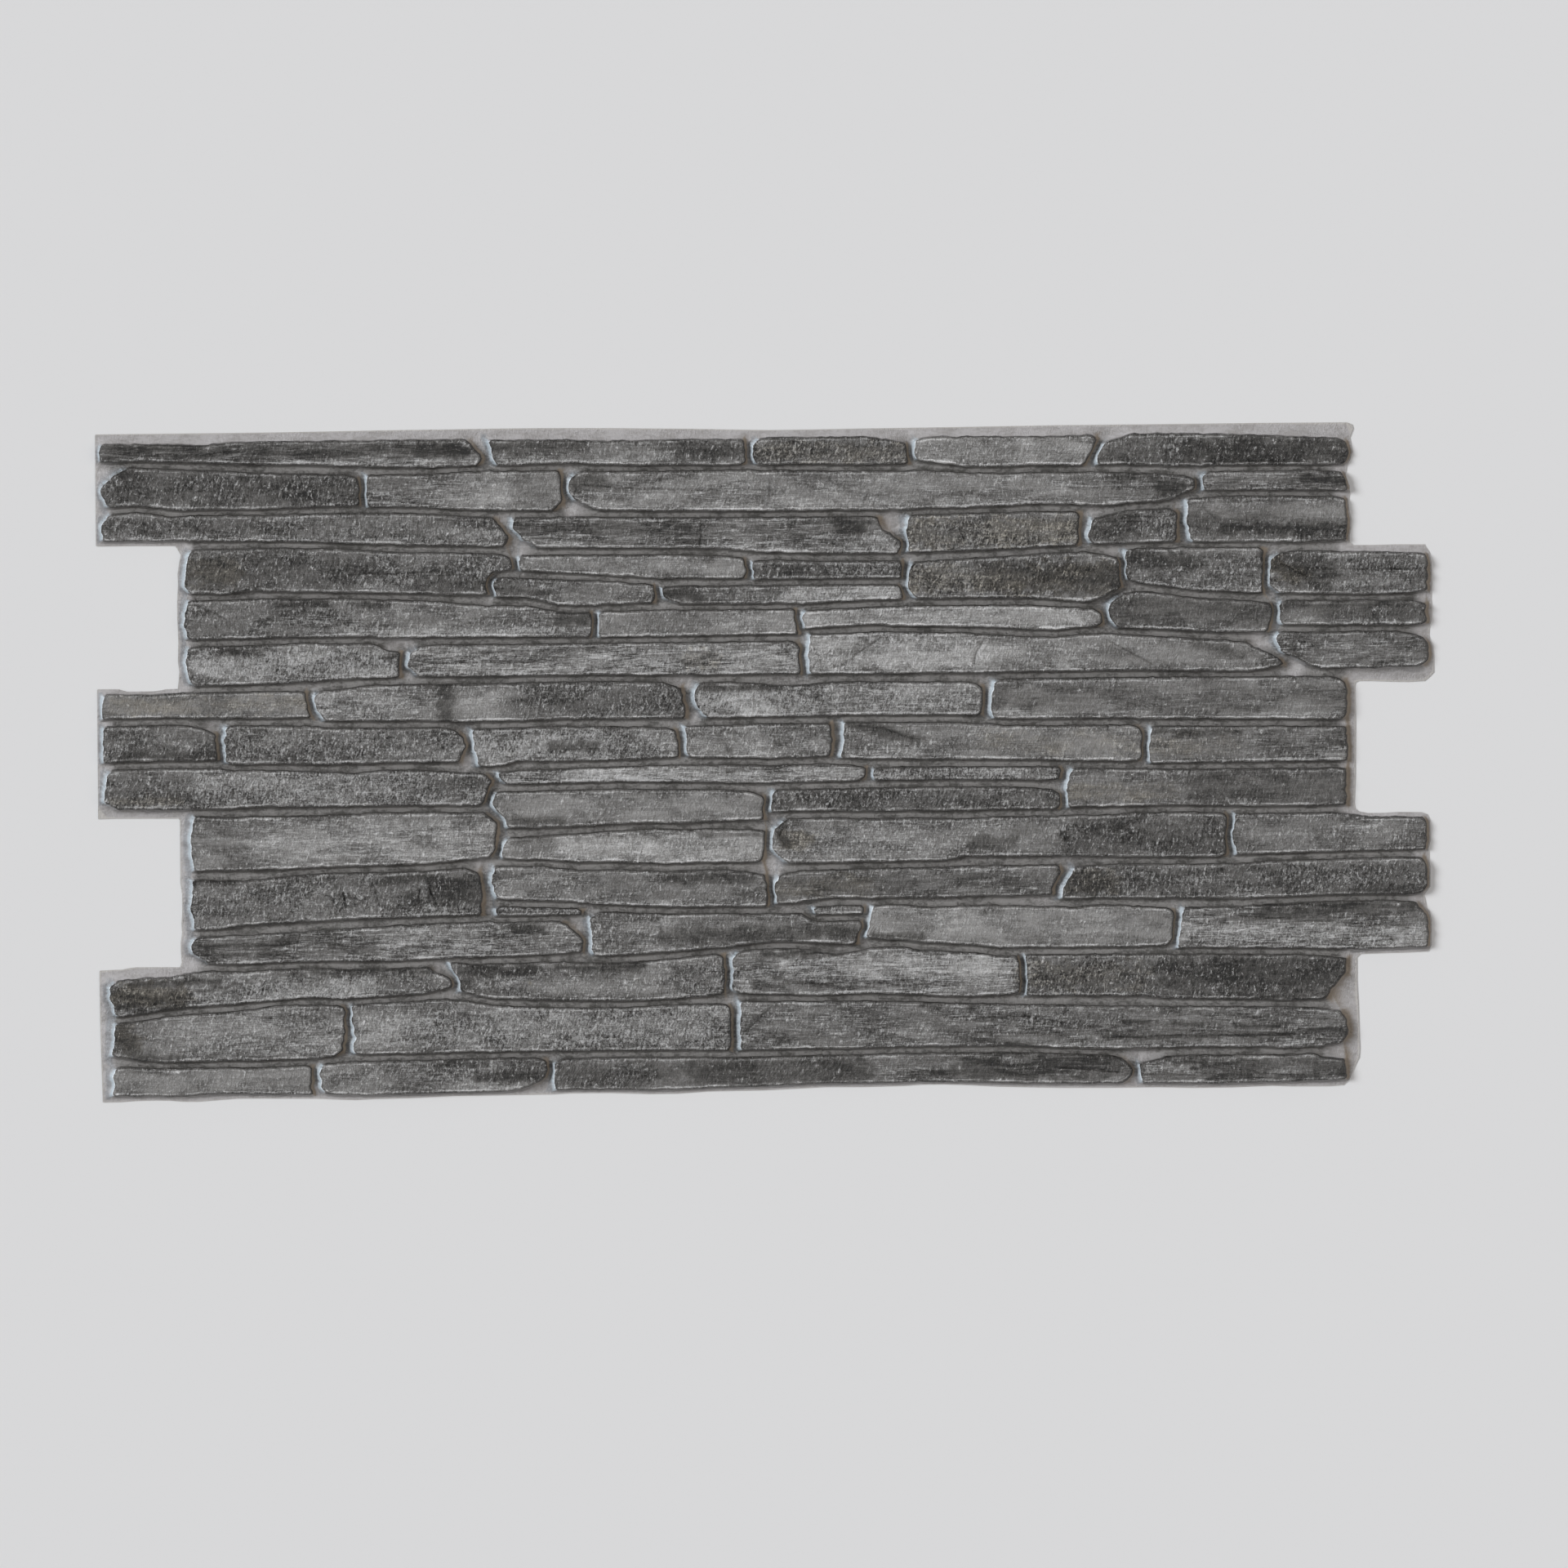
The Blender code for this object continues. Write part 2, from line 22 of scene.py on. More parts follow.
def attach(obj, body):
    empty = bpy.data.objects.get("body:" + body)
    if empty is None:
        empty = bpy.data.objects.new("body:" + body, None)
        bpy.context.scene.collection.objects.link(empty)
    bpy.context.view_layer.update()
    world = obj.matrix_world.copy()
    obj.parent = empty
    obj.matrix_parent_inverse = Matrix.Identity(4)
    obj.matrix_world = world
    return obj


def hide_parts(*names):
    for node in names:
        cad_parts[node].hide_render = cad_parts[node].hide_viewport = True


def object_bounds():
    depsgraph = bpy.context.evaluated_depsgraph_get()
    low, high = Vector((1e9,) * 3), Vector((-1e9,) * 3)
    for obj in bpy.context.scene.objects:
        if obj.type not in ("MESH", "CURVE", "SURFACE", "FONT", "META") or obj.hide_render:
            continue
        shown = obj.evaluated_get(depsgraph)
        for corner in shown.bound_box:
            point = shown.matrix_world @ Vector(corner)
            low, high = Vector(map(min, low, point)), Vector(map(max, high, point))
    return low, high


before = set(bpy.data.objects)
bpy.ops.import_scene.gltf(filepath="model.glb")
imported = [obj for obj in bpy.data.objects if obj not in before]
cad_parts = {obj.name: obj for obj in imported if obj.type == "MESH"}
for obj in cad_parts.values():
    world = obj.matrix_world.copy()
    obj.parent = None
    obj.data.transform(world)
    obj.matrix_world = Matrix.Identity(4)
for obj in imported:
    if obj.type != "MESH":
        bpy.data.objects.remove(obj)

CAD_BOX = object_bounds()
MM = 0.001
SAME_POINT = 1e-6  # closer than this, in millimetres, two points in plan would be one
SHEET_NODE = "panel_sheet"
PRINT_SLOT = "stone_print"

LOG = logging.getLogger("stone_panel")

Points = np.ndarray  # rows of x and y
Socket = bpy.types.NodeSocket
Value = Socket | float | tuple[float, ...]
Stops = tuple[tuple[float, tuple[float, ...]], ...]


class Look(Enum):
    """How the print and the relief differ from the plain slate inside a stroke."""

    DARK = "dark"
    PALE = "pale"
    BROWN = "brown"
    ROUGH = "rough"
    STREAKED = "streaked"
    HATCHED = "hatched"
    SMOOTH = "smooth"


class Role(Enum):
    """The places of the sheet that a vertex can lie on."""

    WEB = 0
    FOOT = 1
    SHOULDER = 2
    LIP = 3
    BROW = 4
    FACE = 5
    BACK = 6


# The looks of the stones, as strokes on the drawing of the panel: x and y where the stroke starts, x
# and y where it ends, its width and its strength. The drawing's x runs right from the left teeth and
# its y down from the top right corner.
STROKES = {
    Look.DARK: (
        (12, 9, 78, 8.5, 5, 0.9), (238, 12, 268, 12, 11, 1.0), (10, 12, 230, 13, 12, 0.45),
        (290, 10, 355, 10, 7, 0.6), (425, 15, 466, 15, 13, 0.5), (743, 137, 858, 137, 24, 0.45),
        (735, 18, 780, 20, 20, 0.25), (800, 19, 910, 20, 20, 0.65), (20, 40, 188, 42, 24, 0.35),
        (105, 36, 150, 38, 14, 0.45), (137, 45, 158, 45, 6, 0.9), (18, 27, 34, 30, 7, 0.8),
        (350, 38, 368, 38, 12, 0.8), (742, 37, 776, 37, 5, 0.7), (777, 45, 793, 45, 9, 0.8),
        (885, 40, 912, 41, 9, 0.8), (543, 71, 558, 71, 13, 1.0), (727, 74, 757, 74, 20, 0.5),
        (731, 67, 758, 67, 8, 0.7), (822, 76, 912, 77, 9, 0.7), (800, 70, 880, 69, 14, 0.3),
        (10, 67, 120, 66, 10, 0.25), (308, 70, 430, 72, 9, 0.4), (75, 100, 185, 101, 28, 0.35),
        (233, 111, 283, 112, 11, 0.45), (484, 104, 530, 104, 11, 0.5), (68, 98, 118, 104, 26, 0.4),
        (292, 116, 330, 118, 6, 0.6), (860, 98, 900, 112, 20, 0.6), (900, 139, 971, 139, 16, 0.35),
        (414, 120, 438, 121, 11, 0.7), (660, 110, 742, 112, 26, 0.4), (720, 110, 745, 110, 20, 0.6),
        (758, 98, 798, 99, 12, 0.7), (757, 130, 828, 131, 9, 0.6), (870, 133, 963, 133, 5, 0.7),
        (132, 124, 168, 124, 5, 0.9), (191, 125, 214, 125, 5, 0.9), (337, 137, 356, 137, 11, 0.8),
        (87, 159, 108, 159, 6, 0.8), (211, 164, 218, 164, 7, 0.9), (803, 160, 838, 170, 8, 0.6),
        (254, 187, 254, 209, 13, 0.8), (306, 198, 424, 198, 22, 0.22), (442, 189, 498, 190, 5, 0.8),
        (660, 199, 910, 201, 24, 0.2), (18, 235, 84, 235, 7, 0.6), (332, 232, 363, 232, 8, 0.9),
        (460, 235, 460, 235.5, 5, 1.0), (552, 216, 600, 230, 8, 0.8), (775, 226, 838, 226, 5, 0.6),
        (904, 234, 913, 235, 6, 0.9), (245, 258, 280, 258, 12, 0.5), (810, 267, 912, 267, 26, 0.5),
        (303, 286, 338, 286, 7, 0.6), (497, 273, 700, 274, 14, 0.2), (303, 300, 330, 299, 6, 0.5),
        (440, 298, 485, 298, 5, 0.6), (642, 306, 668, 306, 12, 0.7), (715, 303, 822, 303, 26, 0.4),
        (417, 329, 478, 330, 9, 0.7), (500, 337, 690, 337, 18, 0.3), (710, 336, 970, 335, 26, 0.18),
        (710, 336, 730, 336, 20, 0.5), (304, 366, 324, 366, 9, 0.8), (412, 372, 498, 372, 12, 0.6),
        (502, 371, 552, 371, 11, 0.6), (568, 375, 603, 376, 6, 0.8), (850, 362, 972, 358, 8, 0.6),
        (18, 412, 58, 412, 20, 0.15), (22, 403, 88, 402, 5, 0.8), (18, 413, 58, 413, 4, 0.8),
        (155, 396, 242, 396, 5, 0.7), (268, 397, 318, 397, 9, 0.7), (335, 394, 398, 394, 6, 0.8),
        (487, 387, 543, 387, 6, 0.8), (480, 411, 598, 411, 5, 0.6), (682, 405, 800, 408, 28, 0.08),
        (790, 405, 910, 408, 28, 0.65), (822, 412, 900, 412, 22, 0.4), (14, 440, 22, 450, 18, 0.6),
        (23, 458, 58, 458, 4, 0.8), (602, 427, 618, 427, 5, 0.9), (637, 428, 644, 428, 3, 0.9),
        (248, 465, 283, 465, 5, 0.7), (277, 475, 323, 475, 8, 0.8), (335, 474, 440, 474, 20, 0.35),
        (440, 474, 560, 474, 20, 0.6), (640, 474, 755, 474, 20, 0.65), (815, 476, 913, 476, 18, 0.6),
        (432, 470, 468, 470, 9, 0.7), (612, 476, 648, 476, 7, 0.7), (692, 467, 743, 467, 5, 0.8),
        (802, 474.5, 848, 474.5, 3.5, 0.9), (248, 337, 270, 336, 25, 0.75), (70, 329, 100, 328, 4, 0.9),
        (100, 361, 150, 358, 3, 0.7), (205, 330, 240, 326, 7, 0.8), (228, 342, 234, 344, 9, 0.6),
        (70, 376, 145, 374, 3, 0.8), (70, 381, 130, 382, 2.5, 0.7), (15, 420, 60, 413, 3, 0.9),
        (40, 416, 110, 402, 2.5, 0.8), (20, 425, 62, 419, 3, 0.8), (10, 432, 10, 450, 3, 0.6),
        (265, 409, 275, 395, 8, 0.6), (496, 287, 503, 305, 9, 0.8), (850, 355, 974, 356, 2.5, 1.0),
        (900, 348, 970, 346, 11, 0.6), (492, 381, 535, 384, 3, 0.9), (492, 404, 545, 412, 3, 0.8),
        (640, 452, 720, 462, 3, 0.8), (830, 421, 912, 427, 2.5, 0.9), (750, 440, 912, 448, 2, 0.9),
        (735, 452, 875, 451.5, 2.5, 0.8), (640, 470, 740, 476, 3, 0.8), (660, 463, 730, 468, 2.5, 0.8),
        (790, 472, 812, 470, 5, 0.9), (770, 463, 785, 468, 4, 0.9), (828, 470, 850, 473, 4, 0.8),
    ),
    Look.PALE: (
        (120, 19, 278, 20, 4, 0.8), (15, 16.5, 120, 18, 3, 0.4), (295, 20.5, 420, 21, 4, 0.8),
        (602, 15, 722, 20, 20, 0.40), (346, 45, 470, 45, 24, 0.4), (200, 49, 224, 49, 5, 0.6),
        (372, 54, 720, 56, 4, 0.6), (460, 47, 700, 47, 24, 0.3), (240, 43, 295, 43, 24, 0.45),
        (312, 80, 350, 82, 4, 0.6), (563, 76, 583, 88, 9, 0.8), (450, 84, 560, 86, 12, 0.5),
        (596, 77, 712, 77, 24, 0.35), (20, 74, 290, 80, 5, 0.5), (255, 72, 292, 76, 10, 0.5),
        (190, 108, 240, 108, 14, 0.4), (597, 108, 650, 114, 22, 0.4), (315, 96, 470, 101, 9, 0.3),
        (500, 122, 586, 120, 8, 1.0), (560, 103, 586, 103, 9, 0.5), (160, 136, 350, 136, 24, 0.25),
        (792, 119, 850, 120, 4, 0.7), (755, 146, 800, 148, 4, 0.6), (905, 118, 925, 118, 6, 0.8),
        (876, 144, 944, 145, 5, 0.6), (172, 134, 193, 134, 5, 0.7), (182, 145, 358, 146, 6, 0.8),
        (520, 139, 728, 139, 18, 0.55), (76, 168, 97, 168, 18, 1.3), (460, 142, 508, 142, 16, 0.4),
        (100, 170, 214, 168, 24, 1.05), (525, 165, 640, 165, 30, 0.8), (630, 165, 720, 165, 26, 0.45),
        (232, 168, 360, 168, 22, 0.75), (360, 168, 508, 168, 22, 0.85), (264, 198, 300, 198, 20, 0.5),
        (162, 198, 226, 198, 22, 0.65), (240, 198, 420, 198, 24, 0.25), (440, 200, 520, 202, 20, 1.3),
        (520, 200, 643, 200, 22, 0.75), (100, 198, 150, 198, 12, 0.35), (657, 210, 768, 211, 4, 0.7),
        (852, 212, 908, 213, 4, 0.6), (857, 206, 888, 206, 3, 0.6), (276, 230, 370, 230, 24, 1.0),
        (370, 230, 420, 230, 24, 0.6), (96, 228, 265, 228, 24, 0.25), (432, 229, 532, 229, 22, 0.45),
        (546, 231, 760, 231, 26, 0.2), (477, 237, 498, 237, 5, 0.8), (550, 238, 600, 238, 8, 0.6),
        (332, 253, 418, 253, 5, 0.9), (300, 254, 345, 254, 8, 0.85),
        (345, 253.5, 420, 253.5, 10, 1.3), (420, 254, 555, 254, 9, 0.95),
        (569, 255, 701, 255, 7, 0.8), (80, 259, 150, 259, 24, 0.8), (150, 259, 283, 259, 24, 0.6),
        (292, 276, 480, 276, 22, 0.20), (120, 300, 285, 302, 34, 0.6), (177, 294, 233, 294, 3, 0.5),
        (298, 307, 345, 306, 20, 0.10), (345, 307, 484, 306, 22, 0.65), (500, 304, 655, 304, 28, 0.5),
        (906, 298, 938, 298, 6, 0.8), (238, 328, 243, 350, 3, 0.9), (244, 353, 276, 352, 3, 0.7),
        (292, 346, 480, 349, 4, 0.6), (622, 339, 698, 339, 8, 0.4), (291, 335, 335, 335, 24, 0.4),
        (72, 342, 276, 342, 34, 0.2), (82, 387, 350, 385, 4, 0.5), (325, 372, 350, 378, 10, 0.6),
        (570, 366, 735, 368, 26, 0.28), (800, 379, 970, 380, 14, 0.5), (362, 371, 410, 371, 26, 0.5),
        (212, 376, 284, 376, 18, 0.9), (284, 374, 350, 374, 18, 0.3), (842, 381, 928, 381, 8, 0.7),
        (62, 406, 118, 406, 6, 0.6), (15, 424, 26, 424, 6, 0.5), (76, 410, 130, 410, 20, 0.65),
        (130, 409, 196, 408, 20, 0.9), (152, 402, 168, 402, 5, 0.6), (322, 409, 398, 409, 14, 0.3),
        (464, 401, 520, 401, 30, 0.55), (514, 401, 672, 401, 30, 0.9), (408, 400, 454, 400, 24, 0.3),
        (282, 405, 310, 403, 2.5, 0.8), (562, 397, 648, 397, 14, 0.7), (662, 398, 670, 408, 9, 0.8),
        (470, 402, 560, 404, 3, 0.5), (480, 416, 640, 416, 4, 0.4), (132, 454, 174, 453, 6, 0.7),
        (130, 430, 176, 430, 12, 0.3), (187, 440, 256, 440, 30, 0.72), (256, 438, 458, 438, 34, 0.72),
        (60, 441, 176, 441, 32, 0.55), (15, 476, 150, 476, 16, 0.15), (277, 483, 308, 483, 4, 0.8),
        (166, 475, 230, 475, 16, 0.35), (240, 475, 292, 475, 18, 0.4), (480, 437, 690, 437, 30, 0.2),
        (772, 475, 798, 475, 8, 0.7), (862, 478, 888, 478, 10, 0.7), (702, 478, 753, 478, 4, 0.5),
        (562, 474, 648, 473, 4, 0.4), (242, 350, 274, 349, 3, 1.0), (236, 327, 241, 348, 2.5, 1.0),
        (225, 372, 262, 380, 4, 0.8), (55, 408, 130, 399, 3, 0.7), (270, 411, 322, 400, 2.5, 0.9),
        (180, 290, 262, 287, 5, 0.5), (70, 455, 170, 449, 3, 0.5), (700, 300, 712, 292, 3, 0.8),
        (745, 300, 772, 290, 3, 0.6), (545, 299, 690, 305, 6, 0.3), (800, 374, 972, 378, 15, 0.85),
        (770, 475, 785, 471, 4, 1.0), (800, 478, 830, 476, 4, 0.9), (850, 468, 900, 466, 4, 0.6),
        (560, 392, 600, 388, 8, 0.6), (500, 392, 600, 400, 3, 0.8),
    ),
    Look.BROWN: (
        (485, 16, 588, 18, 18, 0.5), (596, 76, 712, 76, 24, 0.6), (70, 100, 95, 100, 26, 0.6),
        (598, 110, 740, 112, 26, 0.6), (862, 104, 880, 112, 16, 0.7), (432, 168, 450, 168, 16, 0.5),
        (10, 198, 150, 198, 14, 0.5), (650, 232, 760, 234, 20, 0.4), (775, 236, 830, 236, 20, 0.4),
        (12, 268, 60, 268, 9, 0.6), (715, 270, 788, 270, 15, 0.5), (502, 302, 518, 302, 14, 0.7),
        (500, 337, 560, 337, 18, 0.5), (710, 336, 740, 336, 20, 0.6), (18, 412, 58, 412, 20, 0.7),
        (684, 405, 760, 408, 26, 0.5), (14, 440, 24, 450, 20, 0.6), (315, 407, 315, 407.5, 4, 0.9),
    ),
    Look.ROUGH: (
        (485, 16, 588, 18, 18, 0.9), (430, 15, 468, 16, 15, 0.8), (735, 18, 910, 20, 20, 0.8),
        (20, 40, 188, 42, 24, 0.9), (8, 68, 290, 72, 18, 0.6), (596, 76, 712, 76, 24, 0.9),
        (730, 74, 786, 74, 22, 0.8), (810, 78, 912, 78, 12, 0.8), (70, 100, 300, 103, 28, 0.8),
        (480, 104, 586, 104, 11, 0.9), (597, 110, 745, 112, 28, 0.9), (755, 104, 850, 106, 24, 0.5),
        (940, 140, 970, 140, 16, 0.8), (862, 108, 970, 110, 26, 0.6), (70, 135, 180, 135, 24, 0.4),
        (390, 148, 415, 148, 6, 0.7), (70, 168, 215, 168, 24, 0.7), (302, 198, 426, 198, 24, 0.9),
        (440, 196, 520, 196, 20, 0.5), (8, 226, 85, 228, 22, 0.6), (95, 228, 265, 230, 24, 0.8),
        (276, 230, 422, 230, 22, 0.6), (10, 260, 284, 262, 24, 0.8), (570, 255, 702, 255, 9, 0.9),
        (495, 273, 702, 274, 14, 0.9), (720, 303, 824, 303, 28, 0.8), (70, 342, 276, 340, 32, 0.7),
        (292, 353, 350, 353, 5, 0.9), (712, 336, 972, 336, 24, 0.8), (14, 412, 250, 402, 22, 0.6),
        (266, 405, 318, 402, 22, 0.8), (430, 404, 456, 402, 28, 0.7), (682, 406, 905, 408, 30, 1.0),
        (255, 440, 458, 440, 30, 0.8), (680, 437, 750, 437, 14, 0.8), (245, 468, 322, 470, 16, 0.6),
        (335, 474, 400, 474, 20, 0.6),
    ),
    Look.STREAKED: (
        (6, 13, 278, 16, 16, 0.9), (198, 42, 260, 44, 24, 0.8), (350, 45, 800, 47, 24, 0.35),
        (812, 41, 912, 41, 12, 0.9), (306, 75, 540, 76, 22, 0.9), (868, 168, 974, 168, 24, 0.9),
        (120, 136, 190, 136, 10, 0.8), (230, 168, 505, 168, 22, 0.7), (295, 254, 555, 253, 10, 0.8),
        (72, 300, 285, 300, 34, 0.4), (72, 377, 350, 376, 22, 0.9), (465, 402, 670, 402, 30, 0.7),
        (470, 440, 912, 446, 32, 0.5), (560, 474, 755, 474, 20, 0.6), (656, 200, 912, 202, 26, 0.4),
        (772, 236, 914, 236, 24, 0.4), (795, 370, 975, 370, 30, 0.5), (765, 478, 915, 478, 16, 0.7),
        (500, 336, 700, 336, 20, 0.4),
    ),
    Look.HATCHED: (
        (485, 16, 588, 18, 18, 0.7), (620, 110, 735, 112, 26, 0.7), (580, 273, 640, 273, 14, 0.8),
        (335, 474, 400, 474, 20, 0.8), (482, 474, 548, 474, 18, 0.8), (660, 18, 722, 20, 18, 0.4),
        (520, 334, 540, 334, 10, 0.6), (862, 106, 900, 112, 20, 0.5), (375, 46, 470, 46, 22, 0.3),
    ),
    Look.SMOOTH: (
        (600, 17, 725, 18, 22, 0.8), (265, 44, 335, 44, 26, 0.8), (375, 45, 730, 48, 26, 0.6),
        (800, 63, 910, 62, 12, 0.7), (310, 97, 472, 102, 12, 0.8), (368, 142, 510, 142, 18, 0.7),
        (518, 139, 732, 139, 15, 0.9), (524, 165, 800, 166, 26, 0.6), (6, 198, 150, 198, 16, 0.7),
        (264, 198, 300, 198, 24, 0.8), (640, 232, 762, 234, 22, 0.7), (292, 277, 484, 278, 22, 0.8),
        (75, 300, 285, 300, 36, 0.6), (298, 306, 486, 306, 22, 0.8), (568, 368, 786, 370, 26, 0.9),
        (322, 408, 400, 409, 16, 0.7), (560, 397, 650, 397, 16, 0.7), (12, 476, 152, 476, 18, 0.7),
        (656, 200, 912, 202, 26, 0.5),
    ),
}

# The cracks of the stones, each along its own points on the drawing
CRACKS = (
    ((75, 15), (88, 12.5), (100, 10)), ((805, 26.5), (840, 26), (885, 27)),
    ((349, 38), (380, 41.5), (420, 43), (460, 44)), ((65, 62), (75, 70), (85, 77)),
    ((440, 67), (441, 76), (439, 85)), ((625, 66), (631, 76), (635, 85)),
    ((180, 103), (230, 102), (298, 101)), ((862, 100), (885, 112)), ((880, 105), (930, 107), (970, 108)),
    ((70, 123), (82, 129), (95, 135)), ((231, 161), (290, 161), (350, 160)),
    ((231, 168.5), (330, 168.5)), ((231, 176), (300, 177)), ((498, 158), (505, 164), (509, 170)),
    ((575, 152), (556, 164), (541, 177)), ((650, 153), (643, 163), (640, 175)),
    ((735, 155), (755, 166), (775, 177)), ((505, 193), (522, 197), (540, 204)),
    ((553, 218), (575, 221), (600, 230)), ((700, 290), (706, 300), (712, 310)),
    ((108, 331), (113, 340), (118, 331)), ((165, 338), (171, 342), (175, 350)),
    ((239, 325), (242, 337), (247, 349)), ((195, 326), (202, 335), (205, 350)),
    ((823, 361), (875, 366), (910, 368), (945, 371), (972, 371)), ((280, 405), (310, 403)),
    ((95, 425), (112, 428), (130, 430)), ((470, 446), (480, 437), (492, 425)),
    ((600, 446), (640, 446), (700, 449), (720, 453)), ((618, 435), (680, 435), (720, 443), (745, 444)),
    ((780, 446), (830, 449), (912, 452.5)), ((830, 437), (870, 439), (912, 440.5)),
    ((475, 408), (530, 409), (600, 407)), ((700, 474), (754, 478)),
    ((226, 331), (234, 336), (233, 346), (226, 351), (219, 347), (218, 338)),
    ((170, 330), (178, 336), (180, 346), (174, 352)), ((735, 452), (800, 451), (870, 452)),
    ((492, 382), (520, 386), (548, 387)), ((70, 416), (40, 418), (16, 426)),
    ((496, 283), (501, 292), (497, 300)),
)

# The ledges, where the face drops on the right of the way that the points run
LEDGES = (
    ((490, 34), (491, 45), (488, 57)), ((568, 35), (562, 48), (558, 57)),
    ((799, 58), (808, 60), (825, 75), (870, 76), (911, 78)), ((235, 105), (284, 104)),
    ((600, 100), (606, 109), (611, 122)),
    ((252, 427), (285, 431), (288, 436), (276, 443), (288, 447), (291, 454)),
    ((750, 434), (751, 440), (749, 447)), ((238, 324), (240, 336), (243, 350)),
    ((695, 281), (706, 293), (712, 310)), ((850, 357), (800, 356)), ((740, 300), (760, 290), (790, 286)),
)


@dataclass(frozen=True)
class Drawing:
    """The measured drawing that the marks are placed on.

    Attributes:
        left: The frame's x at the tips of the left teeth.
        top: The frame's y at the drawing's y of nought.
    """

    left: float
    top: float

    @classmethod
    def of_panel(cls, bow: float = 2.4) -> "Drawing":
        """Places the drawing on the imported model's box.

        Args:
            bow: How far the top edge bows above the drawing's y of nought.

        Returns:
            The placed drawing.
        """
        low, high = CAD_BOX
        return cls(left=low[0] / MM, top=high[1] / MM - bow)

    def place(self, points: Points | tuple[tuple[float, float], ...]) -> Points:
        """The drawing's points in the frame."""
        drawn = np.asarray(points, float)
        return np.stack([self.left + drawn[:, 0], self.top - drawn[:, 1]], axis=1)


class Noise:
    """Smooth noise over the plane, from about -1 to 1, the same in every run."""

    CELLS = 256

    def __init__(self, seed: int) -> None:
        """Draws the lattice's slopes.

        Args:
            seed: Picks one noise out of many.
        """
        random = np.random.default_rng(seed)
        turns = random.uniform(0, 2 * math.pi, self.CELLS)
        self.order = random.permutation(self.CELLS)
        self.slopes = np.stack([np.cos(turns), np.sin(turns)], axis=-1)

    def at(self, x: np.ndarray, y: np.ndarray) -> np.ndarray:
        """The noise at some points.

        Args:
            x: Across, in lattice cells.
            y: Along, in lattice cells.

        Returns:
            One value for each point.
        """
        cell_x, cell_y = np.floor(x).astype(int), np.floor(y).astype(int)
        u, v = x - cell_x, y - cell_y

        def pull(step_x: int, step_y: int) -> np.ndarray:
            """The slope of one corner of each point's cell, taken to the point.

            Args:
                step_x: How far across the cell the corner lies, 0 or 1.
                step_y: How far along it, likewise.

            Returns:
                One value for each point.
            """
            row = self.order[(cell_x + step_x) % self.CELLS]
            slope = self.slopes[self.order[(row + cell_y + step_y) % self.CELLS]]
            return slope[..., 0] * (u - step_x) + slope[..., 1] * (v - step_y)

        ease_u = u ** 3 * (u * (u * 6 - 15) + 10)
        ease_v = v ** 3 * (v * (v * 6 - 15) + 10)
        near = pull(0, 0) * (1 - ease_u) + pull(1, 0) * ease_u
        far = pull(0, 1) * (1 - ease_u) + pull(1, 1) * ease_u
        return 1.5 * (near * (1 - ease_v) + far * ease_v)


def smooth_step(low: float, high: float, values: np.ndarray) -> np.ndarray:
    """Values eased from 0 at low to 1 at high."""
    share = np.clip((values - low) / (high - low), 0, 1)
    return share * share * (3 - 2 * share)


def nearest_on_lines(points: Points, starts: Points, ends: Points) -> tuple[np.ndarray, ...]:
    """Measures points against straight pieces of line.

    Args:
        points: The points.
        starts: Where each piece starts.
        ends: Where each piece ends.

    Returns:
        For each point the distance to the nearest piece, the side it lies on (1 on the right of the
        piece, -1 on its left), the piece's index and how far along it the nearest place is.
    """
    run = ends - starts
    length = np.maximum((run ** 2).sum(axis=1), 1e-12)
    offset = points[:, None, :] - starts[None, :, :]
    along = np.clip((offset * run).sum(axis=2) / length, 0, 1)
    gap = offset - along[..., None] * run
    distance = np.sqrt((gap ** 2).sum(axis=2))
    piece = distance.argmin(axis=1)
    each = np.arange(len(points))
    turn = run[piece, 0] * offset[each, piece, 1] - run[piece, 1] * offset[each, piece, 0]
    return distance[each, piece], np.where(turn > 0, -1.0, 1.0), piece, along[each, piece]


def loop_pieces(loop: Points) -> tuple[Points, Points]:
    """The starts and ends of the sides of a closed loop."""
    return loop, np.roll(loop, -1, axis=0)


def is_inside(points: Points, loop: Points) -> np.ndarray:
    """Finds the points inside a closed loop.

    Args:
        points: The points.
        loop: The loop, which may run either way round.

    Returns:
        One flag for each point.
    """
    starts, ends = loop_pieces(loop)
    inside = np.zeros(len(points), bool)
    for (x0, y0), (x1, y1) in zip(starts, ends):
        spans = (y0 > points[:, 1]) != (y1 > points[:, 1])
        if y0 != y1:
            inside ^= spans & (points[:, 0] < x0 + (points[:, 1] - y0) * (x1 - x0) / (y1 - y0))
    return inside


def rounded(loop: np.ndarray, longest_cut: float) -> np.ndarray:
    """A closed loop with each corner cut once.

    Args:
        loop: Rows whose first two columns are x and y, and whose other columns go along with them.
        longest_cut: The most that is cut off either side of a corner.

    Returns:
        The loop with twice as many rows.
    """
    after = np.roll(loop, -1, axis=0)
    length = np.linalg.norm((after - loop)[:, :2], axis=1)
    share = np.minimum(0.25, longest_cut / length)[:, None]
    cut = np.stack([loop + (after - loop) * share, after + (loop - after) * share], axis=1)
    return cut.reshape(-1, loop.shape[1])


